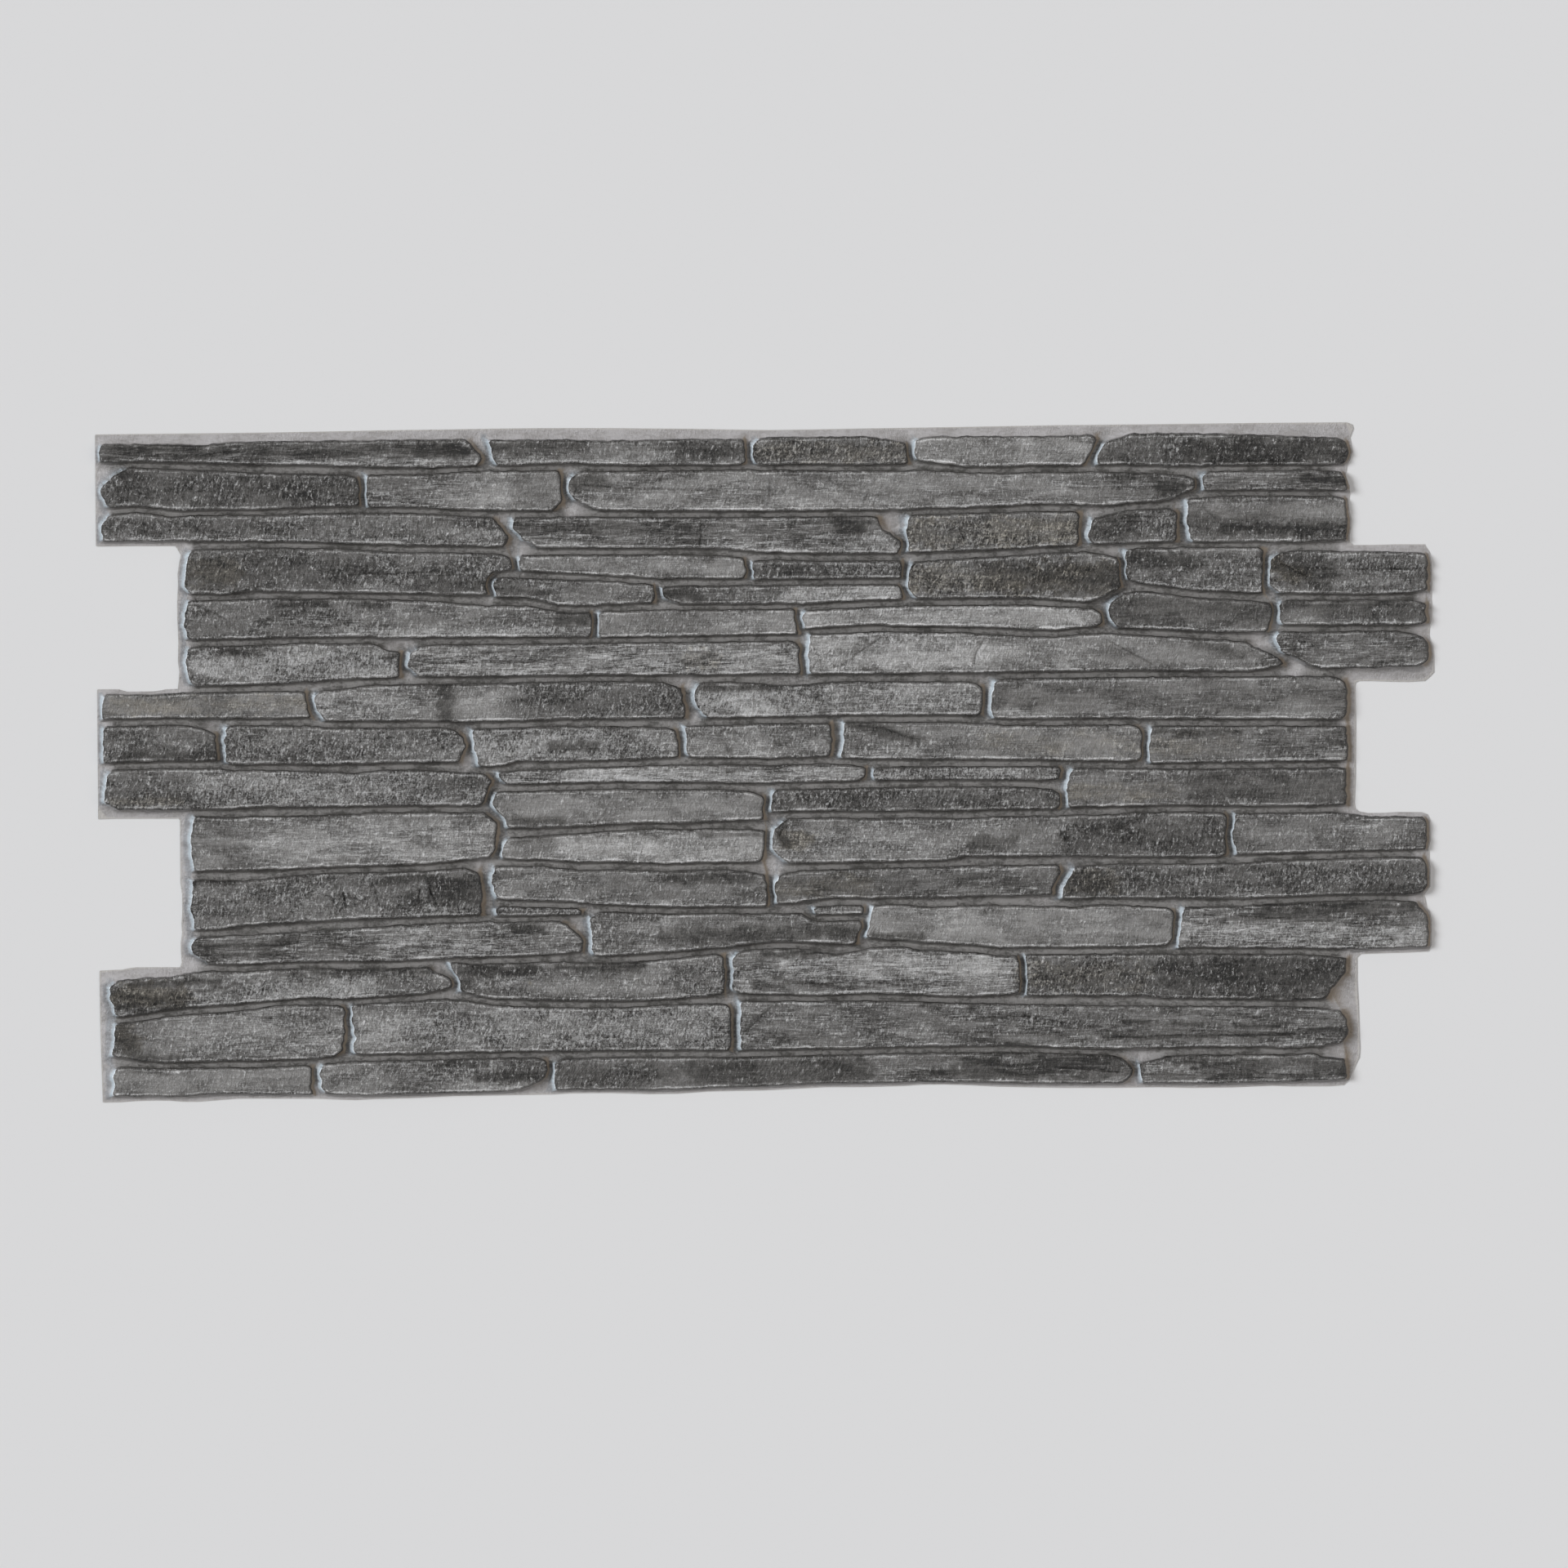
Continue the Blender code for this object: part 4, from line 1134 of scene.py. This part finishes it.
    def build(self, rim: Points, stones: list[StoneLoops]) -> bpy.types.Object:
        """Builds the sheet.

        Args:
            rim: The trimmed edge as packed.
            stones: The stones as packed.

        Returns:
            The new object.
        """
        sides = zip(*loop_pieces(rim))
        rim = np.vstack([spaced(np.array(side), self.rim_spacing, False)[:-1] for side in sides])
        front_rim, shapes = self.lay_front(rim, stones)
        front, roles = np.vstack(self.draft.places), np.concatenate(self.draft.roles)
        insets = np.concatenate(self.draft.insets)
        looks = StoneLooks(self.drawing).at(front[:, :2])
        front, crack_shade = self.raised(front, roles, insets, looks)
        front_faces = len(self.draft.faces)
        self.draft.places = [front]
        self.lay_back(rim, front_rim, shapes, front)
        places = np.vstack(self.draft.places)
        data = bpy.data.meshes.new("formed_sheet")
        data.from_pydata((places * MM).tolist(), [], self.draft.faces)
        data.polygons.foreach_set("use_smooth", [True] * len(data.polygons))
        is_back = np.arange(len(data.polygons)) >= front_faces
        data.polygons.foreach_set("material_index", is_back.astype(int))
        values = self.print_values(front, roles, rim, shapes)
        # The painted shade of the cracks and ledges, which the print reads by the name crack.
        values["crack"] = crack_shade
        values["lean_x"], values["lean_y"] = np.vstack(self.draft.leans)[: len(front)].T
        values.update((look.value, strength) for look, strength in looks.items())
        for name, numbers in values.items():
            self.write_values(data, name, numbers)
        data.set_sharp_from_angle(angle=math.radians(self.sharp_angle))
        sheet = bpy.data.objects.new("formed_stone_sheet", data)
        bpy.context.scene.collection.objects.link(sheet)
        LOG.info("formed_stone_sheet: %d triangles", sum(len(face) - 2 for face in self.draft.faces))
        return sheet

    def print_values(
        self, front: np.ndarray, roles: np.ndarray, rim: Points, shapes: list[StoneShape]
    ) -> dict[str, np.ndarray]:
        """The values that tell the print which part of the sheet it is on.

        Args:
            front: The places of the front's vertices.
            roles: Their roles.
            rim: The trimmed edge.
            shapes: The rings of every stone.

        Returns:
            For each name one value for each vertex: how far down a wall it lies, whether it is on a
            lip, a brow or the rim, and how wide the flat is beside it.
        """
        low_down = np.zeros(len(front))
        low_down[roles <= Role.FOOT.value] = 1
        low_down[roles == Role.SHOULDER.value] = 0.6
        low_down[roles == Role.LIP.value] = 0.12
        open_flat = np.zeros(len(front))
        open_flat[roles == Role.WEB.value] = 1
        flats = []
        for shape in shapes:
            to_rim, _, _, _ = nearest_on_lines(shape.foot, *loop_pieces(rim))
            wide = smooth_step(*self.open_joint, self.gaps(shape, shapes))
            flats.append(np.maximum(wide, 1 - smooth_step(*self.near_rim, to_rim)))
        for role in (Role.FOOT, Role.SHOULDER):
            open_flat[roles == role.value] = np.concatenate(flats)
        return {
            "low_down": low_down,
            "on_lip": (roles == Role.LIP.value).astype(float),
            "on_brow": (roles == Role.BROW.value).astype(float),
            "on_rim": (roles == Role.WEB.value).astype(float),
            "open_flat": open_flat,
        }

    @staticmethod
    def write_values(data: bpy.types.Mesh, name: str, values: np.ndarray) -> None:
        """Writes one value for each vertex of the front, and nought for the back.

        Args:
            data: The mesh.
            name: The name that the print reads them by.
            values: The values of the front's vertices, which come first in the mesh.
        """
        padded = np.zeros(len(data.vertices), np.float32)
        padded[: len(values)] = values
        data.attributes.new(name, "FLOAT", "POINT").data.foreach_set("value", padded)


class Sketch:
    """Adds nodes to a material, so that a finish reads as a list of steps."""

    NOISE_SWING = 4.0  # the noise mostly stays within 0.25 of its middle, and this makes that 1
    RIPPLE = (0.9, 0.9, 0.0)  # how far the edges of the flakes are rippled, in flakes
    RIPPLE_SCALE = 1.7

    def __init__(self, name: str) -> None:
        """Starts a material.

        Args:
            name: The material's name.
        """
        self.material = bpy.data.materials.new(name)
        self.material.use_nodes = True
        self.tree = self.material.node_tree
        self.shader = self.tree.nodes["Principled BSDF"]
        self.place = self.scaled(self.node("TexCoord", {}).outputs["Object"], (1 / MM, 1 / MM, 1 / MM))

    def put(self, socket: Socket, value: Value) -> None:
        """Sets a socket, or links it where the value is another socket.

        Args:
            socket: The socket.
            value: A number, a row of numbers or another socket.
        """
        if isinstance(value, Socket):
            self.tree.links.new(value, socket)
        else:
            socket.default_value = value

    def node(self, kind: str, inputs: dict[str | int, Value], **settings: str | bool) -> bpy.types.Node:
        """Adds a node.

        Args:
            kind: The last part of its type's name.
            inputs: What goes into its sockets, by their names or numbers.
            **settings: Its own settings.

        Returns:
            The node.
        """
        node = self.tree.nodes.new("ShaderNode" + kind)
        for name, setting in settings.items():
            setattr(node, name, setting)
        for socket, value in inputs.items():
            self.put(node.inputs[socket], value)
        return node

    def finish(self, **settings: Value) -> bpy.types.Material:
        """Sets or links the sockets of the shader.

        Args:
            **settings: What goes into them, by their names with _ for a space.

        Returns:
            The finished material.
        """
        for name, value in settings.items():
            self.put(self.shader.inputs[name.replace("_", " ")], value)
        return self.material

    def scaled(self, vector: Socket, scale: tuple[float, float, float], turn: float = 0.0) -> Socket:
        """A vector turned about the vertical and then scaled.

        Args:
            vector: The vector.
            scale: What it is scaled by along x, y and z.
            turn: How far it is turned, in radians.

        Returns:
            The new vector.
        """
        if turn:
            turned = {"Vector": vector, "Rotation": (0, 0, turn)}
            vector = self.node("Mapping", turned, vector_type="TEXTURE").outputs["Vector"]
        return self.node("Mapping", {"Vector": vector, "Scale": scale}).outputs["Vector"]

    def noise(
        self,
        scale: tuple[float, float],
        detail: float,
        roughness: float = 0.55,
        twist: float = 0.0,
        turn: float = 0.0,
    ) -> Socket:
        """Noise that swings evenly about nought.

        Args:
            scale: Cells in a millimetre along x and y.
            detail: How many finer noises it holds.
            roughness: How strong the finer ones are.
            twist: How much it is distorted.
            turn: How far it is turned about the vertical, in radians.

        Returns:
            A socket with values mostly from -1 to 1.
        """
        inputs = {
            "Vector": self.scaled(self.place, (scale[0], scale[1], scale[0]), turn),
            "Scale": 1.0,
            "Detail": detail,
            "Roughness": roughness,
            "Distortion": twist,
        }
        node = self.node("TexNoise", inputs, noise_dimensions="2D")
        return self.total(-0.5 * self.NOISE_SWING, (node.outputs["Fac"], self.NOISE_SWING))

    def flakes(self, scale: tuple[float, float]) -> tuple[Socket, Socket]:
        """Small flat flakes side by side, each tilted its own way.

        Args:
            scale: Flakes in a millimetre along x and y.

        Returns:
            Their height in widths of a flake, and a value from -0.5 to 0.5 that each keeps.
        """
        flat = self.scaled(self.place, (scale[0], scale[1], 0.0))
        ripple = self.node("TexNoise", {"Vector": flat, "Scale": self.RIPPLE_SCALE}, noise_dimensions="2D")
        flat = self.join("MULTIPLY_ADD", ripple.outputs["Color"], self.RIPPLE, flat)
        cells = self.node("TexVoronoi", {"Vector": flat, "Scale": 1.0}, voronoi_dimensions="2D")
        offset = self.join("SUBTRACT", flat, cells.outputs["Position"])
        tilt = self.join("SUBTRACT", cells.outputs["Color"], (0.5, 0.5, 0.5))
        height = self.join("DOT_PRODUCT", offset, tilt)
        return height, self.join("DOT_PRODUCT", tilt, (0.0, 0.0, 1.0))

    def join(self, operation: str, first: Value, second: Value, third: Value = (0.0, 0.0, 0.0)) -> Socket:
        """One step of arithmetic with vectors."""
        node = self.node("VectorMath", dict(enumerate((first, second, third))), operation=operation)
        return node.outputs["Value" if operation == "DOT_PRODUCT" else "Vector"]

    def value(self, name: str) -> Socket:
        """A value that the mesh carries."""
        return self.node("Attribute", {}, attribute_name=name).outputs["Fac"]

    def math(self, operation: str, first: Value, second: Value = 0.0, third: Value = 0.0) -> Socket:
        """One step of arithmetic."""
        inputs = dict(enumerate((first, second, third)))
        return self.node("Math", inputs, operation=operation).outputs["Value"]

    def total(self, base: Value, *parts: tuple[Value, ...]) -> Value:
        """A base value plus some products.

        Args:
            base: The value that they are added to.
            *parts: Two or three values or sockets each, to be multiplied.

        Returns:
            The sum.
        """
        result = base
        for part in parts:
            first = part[0] if len(part) == 2 else self.math("MULTIPLY", part[0], part[1])
            result = self.math("MULTIPLY_ADD", first, part[-1], result)
        return result

    def ease(self, value: Value, low: float, high: float, start: float = 0.0, end: float = 1.0) -> Socket:
        """A value eased from start at low to end at high."""
        inputs = {"Value": value, "From Min": low, "From Max": high, "To Min": start, "To Max": end}
        return self.node("MapRange", inputs, interpolation_type="SMOOTHSTEP").outputs["Result"]

    def mixed(self, share: Value, first: Value, second: Value, blend: str = "MIX") -> Socket:
        """Two colours mixed.

        Args:
            share: How much of the second there is.
            first: The first colour.
            second: The second colour.
            blend: How the second is laid over the first.

        Returns:
            The mixed colour.
        """
        node = self.node("Mix", {"Factor": share}, data_type="RGBA", blend_type=blend, clamp_factor=True)
        colours = [socket for socket in node.inputs if socket.type == "RGBA"]
        for socket, colour in zip(colours, (first, second)):
            self.put(socket, colour)
        return next(socket for socket in node.outputs if socket.type == "RGBA")

    def ramp(self, value: Value, stops: Stops) -> Socket:
        """A colour picked from a row of colours.

        Args:
            value: Where in the row it is, from 0 to 1.
            stops: The places and colours of the row.

        Returns:
            The colour.
        """
        node = self.node("ValToRGB", {"Fac": value})
        elements = node.color_ramp.elements
        for element, (place, colour) in zip((elements[0], elements[1]), (stops[0], stops[-1])):
            element.position = place
            element.color = (*colour, 1.0)
        for place, colour in stops[1:-1]:
            elements.new(place).color = (*colour, 1.0)
        return node.outputs["Color"]

    def bump(self, height: Value, unit: float) -> Socket:
        """The normal of a height, with the size in metres that one of it stands for."""
        return self.node("Bump", {"Height": height, "Distance": unit}).outputs["Normal"]


@dataclass(frozen=True)
class StonePrint:
    """The printed slate and its joints, on satin plastic, with light and shade painted on the walls and
    edges of the stones, in their cracks and on their bumps.

    Attributes:
        tones: The colours of the slate from its darkest to its palest, with their places.
        rim: The colour of the rim.
        rim_shade: The same where it is clouded.
        joint: The colour of the joints between the stones.
        joint_shade: The same where it is clouded.
        left_wall_light: The painted light on the walls that look left, a pale blue.
        left_edge_highlight: The painted highlight along their upper edge.
        right_wall_shade: The painted shade, a warm brown, on the walls that look right.
        lower_wall_shade: The painted shade on the walls that look down the panel.
        edge_shade_line: The colour of the thin line round each stone, a painted shade at the top of its
            walls that is left off the walls that look left.
        trimmed: The colour along the trimmed edge.
        fold_shadow: The colour of the painted shadow at the foot of a left wall.
        stain: The colour of the brown patches.
        plain_tone: Where the plain slate lies in the row of tones.
        dark_change: How far a dark stroke moves it.
        pale_change: How far a pale stroke moves it.
        crack_shade_change: How far the painted shade in a crack, or beside a ledge, moves it.
        lip_change: How far the edge of a stone moves it.
        roughness: How rough the slate is.
        joint_roughness: How rough the joints are.
    """

    tones: Stops = (
        (0.00, (0.012, 0.011, 0.010)),
        (0.25, (0.052, 0.049, 0.044)),
        (0.50, (0.150, 0.144, 0.136)),
        (0.72, (0.300, 0.294, 0.286)),
        (1.00, (0.740, 0.735, 0.730)),
    )
    rim: tuple[float, ...] = (0.430, 0.415, 0.415, 1.0)
    rim_shade: tuple[float, ...] = (0.330, 0.315, 0.308, 1.0)
    joint: tuple[float, ...] = (0.215, 0.208, 0.200, 1.0)
    joint_shade: tuple[float, ...] = (0.070, 0.067, 0.062, 1.0)
    left_wall_light: tuple[float, ...] = (0.37, 0.42, 0.455, 1.0)
    left_edge_highlight: tuple[float, ...] = (0.66, 0.70, 0.73, 1.0)
    right_wall_shade: tuple[float, ...] = (0.225, 0.183, 0.138, 1.0)
    lower_wall_shade: tuple[float, ...] = (0.075, 0.072, 0.066, 1.0)
    edge_shade_line: tuple[float, ...] = (0.014, 0.012, 0.010, 1.0)
    trimmed: tuple[float, ...] = (0.52, 0.50, 0.47, 1.0)
    fold_shadow: tuple[float, ...] = (0.110, 0.122, 0.135, 1.0)
    stain: tuple[float, ...] = (0.84, 0.78, 0.66, 1.0)
    plain_tone: float = 0.650
    dark_change: float = -0.46
    pale_change: float = 0.24
    crack_shade_change: float = -0.14
    lip_change: float = -0.13
    roughness: float = 0.33
    joint_roughness: float = 0.40

    def slate(self, s: Sketch, looks: dict[Look, Socket], lean_y: Socket) -> tuple[Socket, Socket]:
        """The print of the stones and their bumps, with painted highlights along their edges, painted
        glints on the bumps and painted shade in the pits and cracks.

        Args:
            s: The material's sketch.
            looks: How strong each look is.
            lean_y: How far the stone's wall looks up the panel.

        Returns:
            The colour, and the height of the bumps in millimetres.
        """
        worn = s.ease(s.noise((0.022, 0.060), 2, 0.5, 0.3), -0.30, 0.30, 1.15, 0.55)
        calm = s.math("MULTIPLY", s.total(1.0, (looks[Look.SMOOTH], -0.65)), worn)
        rough = s.math("MULTIPLY", calm, s.total(0.55, (looks[Look.ROUGH], 0.65)))
        streaky = s.math("MULTIPLY", calm, s.total(0.45, (looks[Look.STREAKED], 0.75)))
        hatched = looks[Look.HATCHED]
        bedding = s.noise((0.030, 0.36), 5, 0.62, 0.4)
        streaks = s.noise((0.09, 1.35), 4, 0.65, 0.4)
        chips = s.noise((0.33, 0.44), 4, 0.68, 0.9)
        pits = s.noise((0.80, 0.62), 2, 0.6, 0.6)
        scars = s.noise((0.52, 0.19), 3, 0.65, 0.7, turn=-0.22)
        broken = s.ease(s.total(scars, (chips, 0.5)), -0.30, 0.34, -0.5, 0.5)
        slant = s.noise((0.16, 0.8), 3, 0.6, 0.3, turn=0.95)
        clouds = s.noise((0.025, 0.08), 4, 0.6)
        flakes, flake_tone = s.flakes((0.20, 0.30))
        splinters, splinter_tone = s.flakes((0.09, 0.55))
        tone = s.total(
            self.plain_tone,
            (clouds, 0.08),
            (bedding, streaky, 0.20),
            (streaks, streaky, 0.26),
            (splinter_tone, streaky, 0.20),
            (chips, rough, 0.12),
            (pits, rough, 0.22),
            (scars, rough, 0.17),
            (broken, rough, 0.10),
            (flake_tone, rough, 0.16),
            (slant, hatched, 0.22),
        )
        ragged = s.total(0.0, (chips, 0.5), (streaks, 0.5), (pits, 0.25))
        for look, change in ((Look.DARK, self.dark_change), (Look.PALE, self.pale_change)):
            torn = s.ease(s.total(looks[look], (ragged, 0.9)), 0.15, 1.05)
            tone = s.total(tone, (looks[look], 0.45 * change), (torn, 0.5 * change))
        seams = s.ease(s.math("ABSOLUTE", bedding), 0.11, 0.02)
        splits = s.ease(s.math("ABSOLUTE", chips), 0.13, 0.02)
        # Pale flecks on the peaks and dark specks in the hollows of the pits and scars that the bump
        # raises and sinks: painted glints and painted shade.
        sharp = s.total(0.0, (pits, 0.6), (scars, 1.2))
        glint_flecks = s.ease(sharp, 0.65, 1.15)
        pit_shade = s.ease(sharp, -0.60, -1.1)
        tone = s.total(
            tone,
            (seams, streaky, -0.32),
            (splits, rough, -0.22),
            (glint_flecks, rough, 0.50),
            (pit_shade, rough, -0.30),
            # Painted shade in the cracks and beside the ledges.
            (s.ease(s.value("crack"), 0.15, 0.62), self.crack_shade_change),
            (s.value("on_lip"), self.lip_change),
        )
        # Painted highlight: a paler line on the brow along the lower edge of each stone, and a weaker one
        # along its upper edge.
        edge_highlight = s.ease(s.total(s.value("on_brow"), (ragged, 0.4), (bedding, 0.4)), 0.50, 1.05)
        for low, high, change in ((-0.4, -0.8, 0.30), (0.4, 0.8, 0.18)):
            tone = s.total(tone, (s.ease(lean_y, low, high), edge_highlight, change))
        colour = s.ramp(tone, self.tones)
        stained = s.ease(s.total(looks[Look.BROWN], (clouds, 0.25), (chips, 0.2)), 0.15, 0.9, 0.0, 0.8)
        colour = s.mixed(stained, colour, self.stain, "MULTIPLY")
        lumps = s.noise((0.17, 0.21), 3, 0.55, 0.6)
        height = s.total(
            0.0,
            (seams, streaky, -0.30),
            (splits, rough, -0.25),
            (lumps, rough, 0.55),
            (chips, rough, 0.75),
            (pits, rough, 0.60),
            (scars, rough, 1.30),
            (broken, rough, 0.55),
            (flakes, rough, 4.5),
            (streaks, streaky, 0.42),
            (splinters, streaky, 2.6),
            (slant, hatched, 0.55),
        )
        return colour, height

    def joints(self, s: Sketch, low_down: Socket, lean_x: Socket, lean_y: Socket) -> Socket:
        """The print of the joints, the rim and the walls of the stones, with painted light on the walls
        that look left and painted shade on the others.

        Args:
            s: The material's sketch.
            low_down: How far down a wall it is, from 0 on a stone to 1 on the flat.
            lean_x: How far the nearest wall looks right.
            lean_y: How far it looks up the panel.

        Returns:
            The colour.
        """
        film = s.noise((0.05, 0.12), 4, 0.6)
        grit = s.noise((0.30, 0.50), 4, 0.65, 0.5)
        cloudy = s.ease(s.total(film, (grit, 0.8)), -0.6, 0.9)
        rim = s.mixed(cloudy, self.rim, self.rim_shade)
        joint = s.mixed(cloudy, self.joint, self.joint_shade)
        colour = s.mixed(s.value("open_flat"), joint, rim)
        unsteady = s.total(low_down, (grit, 0.08))
        looks_left = s.ease(lean_x, -0.30, -0.75)
        # Painted shade on the walls that look down the panel, fading out over the flat below them.
        shaded = s.ease(s.total(lean_y, (film, 0.25)), -0.55, -1.00, 0.0, 0.5)
        colour = s.mixed(shaded, colour, self.lower_wall_shade)
        # Painted shadow at the foot of the walls that look left.
        colour = s.mixed(s.total(0.0, (looks_left, 0.55)), colour, self.fold_shadow)
        # Warm painted shade on the walls that look right.
        colour = s.mixed(s.ease(lean_x, 0.35, 0.95), colour, self.right_wall_shade)
        colour = s.mixed(s.ease(s.value("on_rim"), 0.78, 0.94, 0.0, 0.7), colour, self.trimmed)
        # A thin dark line at the top of each wall: painted shade, left off the walls that look left and
        # strongest on those that look right.
        line = s.math("MULTIPLY", s.ease(unsteady, 0.78, 0.54), s.ease(lean_x, -0.6, -0.2))
        strength = s.total(0.84, (film, lean_y, -0.45), (grit, 0.14), (lean_x, 0.20))
        colour = s.mixed(s.total(0.0, (line, strength)), colour, self.edge_shade_line)
        # Painted light on the walls that look left: pale blue, with a painted highlight along their upper
        # edge.
        glow = s.ease(s.total(unsteady, (film, 0.10)), 1.05, 0.62)
        left = s.ease(s.total(lean_x, (grit, 0.30)), -0.40, -0.95)
        wall = s.mixed(s.ease(unsteady, 0.34, 0.56), self.left_edge_highlight, self.left_wall_light)
        return s.mixed(s.math("MULTIPLY", left, glow), colour, wall)

    def make(self) -> bpy.types.Material:
        """Makes the material.

        Returns:
            The finished material.
        """
        s = Sketch(PRINT_SLOT)
        looks = {look: s.value(look.value) for look in Look}
        low_down, lean_x, lean_y = s.value("low_down"), s.value("lean_x"), s.value("lean_y")
        slate, height = self.slate(s, looks, lean_y)
        joint = self.joints(s, low_down, lean_x, lean_y)
        frayed = s.noise((0.6, 0.8), 3, 0.6)
        seam = s.ease(s.total(low_down, (frayed, 0.06)), 0.22, 0.36)
        return s.finish(
            Base_Color=s.mixed(seam, slate, joint),
            Roughness=s.ease(seam, 0.0, 1.0, self.roughness, self.joint_roughness),
            Normal=s.bump(s.math("MULTIPLY", height, s.ease(seam, 0.0, 1.0, 1.0, 0.12)), MM),
        )


@dataclass(frozen=True)
class BarePlastic:
    """The unprinted back of the sheet.

    Attributes:
        colour: The plastic's colour.
        cloudy: The same where it is hazy.
        roughness: How rough it is.
        dimple: The height of its faint unevenness, in millimetres.
    """

    colour: tuple[float, ...] = (0.46, 0.46, 0.45, 1.0)
    cloudy: tuple[float, ...] = (0.38, 0.38, 0.375, 1.0)
    roughness: float = 0.38
    dimple: float = 0.03

    def make(self) -> bpy.types.Material:
        """Makes the material.

        Returns:
            The finished material.
        """
        s = Sketch("bare_plastic")
        haze = s.ease(s.noise((0.03, 0.03), 4, 0.6), -0.6, 0.8)
        return s.finish(
            Base_Color=s.mixed(haze, self.colour, self.cloudy),
            Roughness=self.roughness,
            Normal=s.bump(s.noise((0.5, 0.5), 3, 0.6), self.dimple * MM),
        )


@dataclass(frozen=True)
class Lamp:
    """A soft, distant lamp.

    Attributes:
        name: Its name.
        strength: How bright it is.
        colour: The colour of its light.
        side: Where it hangs, in degrees round from the right end of the panel.
        height: How high it hangs, in degrees above the floor.
        spread: How wide it looks from the panel, in degrees.
    """

    name: str
    strength: float
    colour: tuple[float, float, float]
    side: float
    height: float
    spread: float

    def hang(self) -> None:
        """Hangs the lamp, pointed at the panel."""
        light = bpy.data.lights.new(self.name, "SUN")
        light.energy = self.strength
        light.color = self.colour
        light.angle = math.radians(self.spread)
        stand = bpy.data.objects.new(self.name, light)
        stand.rotation_euler = (0, math.radians(90 - self.height), math.radians(self.side))
        bpy.context.scene.collection.objects.link(stand)


@dataclass(frozen=True)
class Studio:
    """The floor, the light and the camera, in metres.

    Attributes:
        floor_size: The side of the floor.
        floor_drop: How far the floor lies below the sheet's back.
        floor_colour: The floor's colour.
        key: The lamp at the left, which shades the walls of the stones.
        fill: The weaker and warmer lamp at the right.
        sky_strength: The strength of the light from all round.
        sky_colour: The colour of what is behind the floor.
        lens: The camera's lens, in millimetres.
        camera_place: Where the camera stands.
        camera_turn: How the camera is turned, in radians about x, y and z.
    """

    floor_size: float = 12.0
    floor_drop: float = 0.0002
    floor_colour: tuple[float, ...] = (0.80, 0.80, 0.80, 1.0)
    key: Lamp = Lamp("key_lamp", 2.9, (0.95, 0.97, 1.0), side=162.0, height=30.0, spread=20.0)
    fill: Lamp = Lamp("fill_lamp", 0.45, (1.0, 0.90, 0.80), side=5.0, height=35.0, spread=40.0)
    sky_strength: float = 0.36
    sky_colour: tuple[float, ...] = (0.92, 0.92, 0.93, 1.0)
    lens: float = 300.0
    camera_place: tuple[float, ...] = (-0.73527, 1.35271, 9.43621)
    camera_turn: tuple[float, ...] = (-0.14365, -0.07909, -0.00063)

    def lay_floor(self) -> None:
        """Lays the pale floor."""
        half = self.floor_size / 2
        corners = [(-half, -half, 0), (half, -half, 0), (half, half, 0), (-half, half, 0)]
        data = bpy.data.meshes.new("studio_floor")
        data.from_pydata(corners, [], [(0, 1, 2, 3)])
        paint = Sketch("floor_paint")
        grain = paint.ease(paint.noise((0.02, 0.02), 3), -1.0, 1.0, 0.86, 0.92)
        paint.finish(Base_Color=self.floor_colour, Roughness=grain, Specular_IOR_Level=0.2)
        data.materials.append(paint.material)
        floor = bpy.data.objects.new("studio_floor", data)
        floor.location.z = -self.floor_drop
        bpy.context.scene.collection.objects.link(floor)

    def light(self) -> None:
        """Hangs the lamps and sets the light from all round."""
        self.key.hang()
        self.fill.hang()
        world = bpy.data.worlds.new("studio_sky")
        bpy.context.scene.world = world
        world.use_nodes = True
        tree = world.node_tree
        background = tree.nodes["Background"]
        path = tree.nodes.new("ShaderNodeLightPath")
        seen = path.outputs["Is Camera Ray"]
        for name in ("Is Glossy Ray", "Is Transmission Ray"):
            either = tree.nodes.new("ShaderNodeMath")
            either.operation = "MAXIMUM"
            tree.links.new(seen, either.inputs[0])
            tree.links.new(path.outputs[name], either.inputs[1])
            seen = either.outputs["Value"]
        level = tree.nodes.new("ShaderNodeMapRange")
        level.inputs["To Min"].default_value = self.sky_strength
        level.inputs["To Max"].default_value = 1.0
        tree.links.new(seen, level.inputs["Value"])
        tree.links.new(level.outputs["Result"], background.inputs["Strength"])
        background.inputs["Color"].default_value = self.sky_colour

    def set_camera(self) -> None:
        """Sets up the camera above the panel."""
        data = bpy.data.cameras.new("panel_camera")
        data.lens = self.lens
        camera = bpy.data.objects.new("panel_camera", data)
        camera.location = self.camera_place
        camera.rotation_euler = self.camera_turn
        bpy.context.scene.collection.objects.link(camera)
        bpy.context.scene.camera = camera

    def build(self) -> None:
        """Builds the studio."""
        self.lay_floor()
        self.light()
        self.set_camera()
        bpy.context.scene.view_settings.view_transform = "Standard"


def main() -> None:
    """Builds the sheet and the studio."""
    logging.basicConfig(level=logging.INFO, format="%(message)s")
    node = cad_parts[SHEET_NODE]
    highest = CAD_BOX[1][2] / MM
    formed = FormedSheet(drawing=Drawing.of_panel(), highest=highest)
    rim, stones = PackedSheet(node, formed.thickness).rim_and_stones()
    LOG.info("%s: %d stones, a rim of %d points", SHEET_NODE, len(stones), len(rim))
    sheet = formed.build(rim, stones)
    sheet.data.materials.append(StonePrint().make())
    sheet.data.materials.append(BarePlastic().make())
    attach(sheet, "root")
    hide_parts(SHEET_NODE)
    Studio().build()


if __name__ == "__main__":
    main()
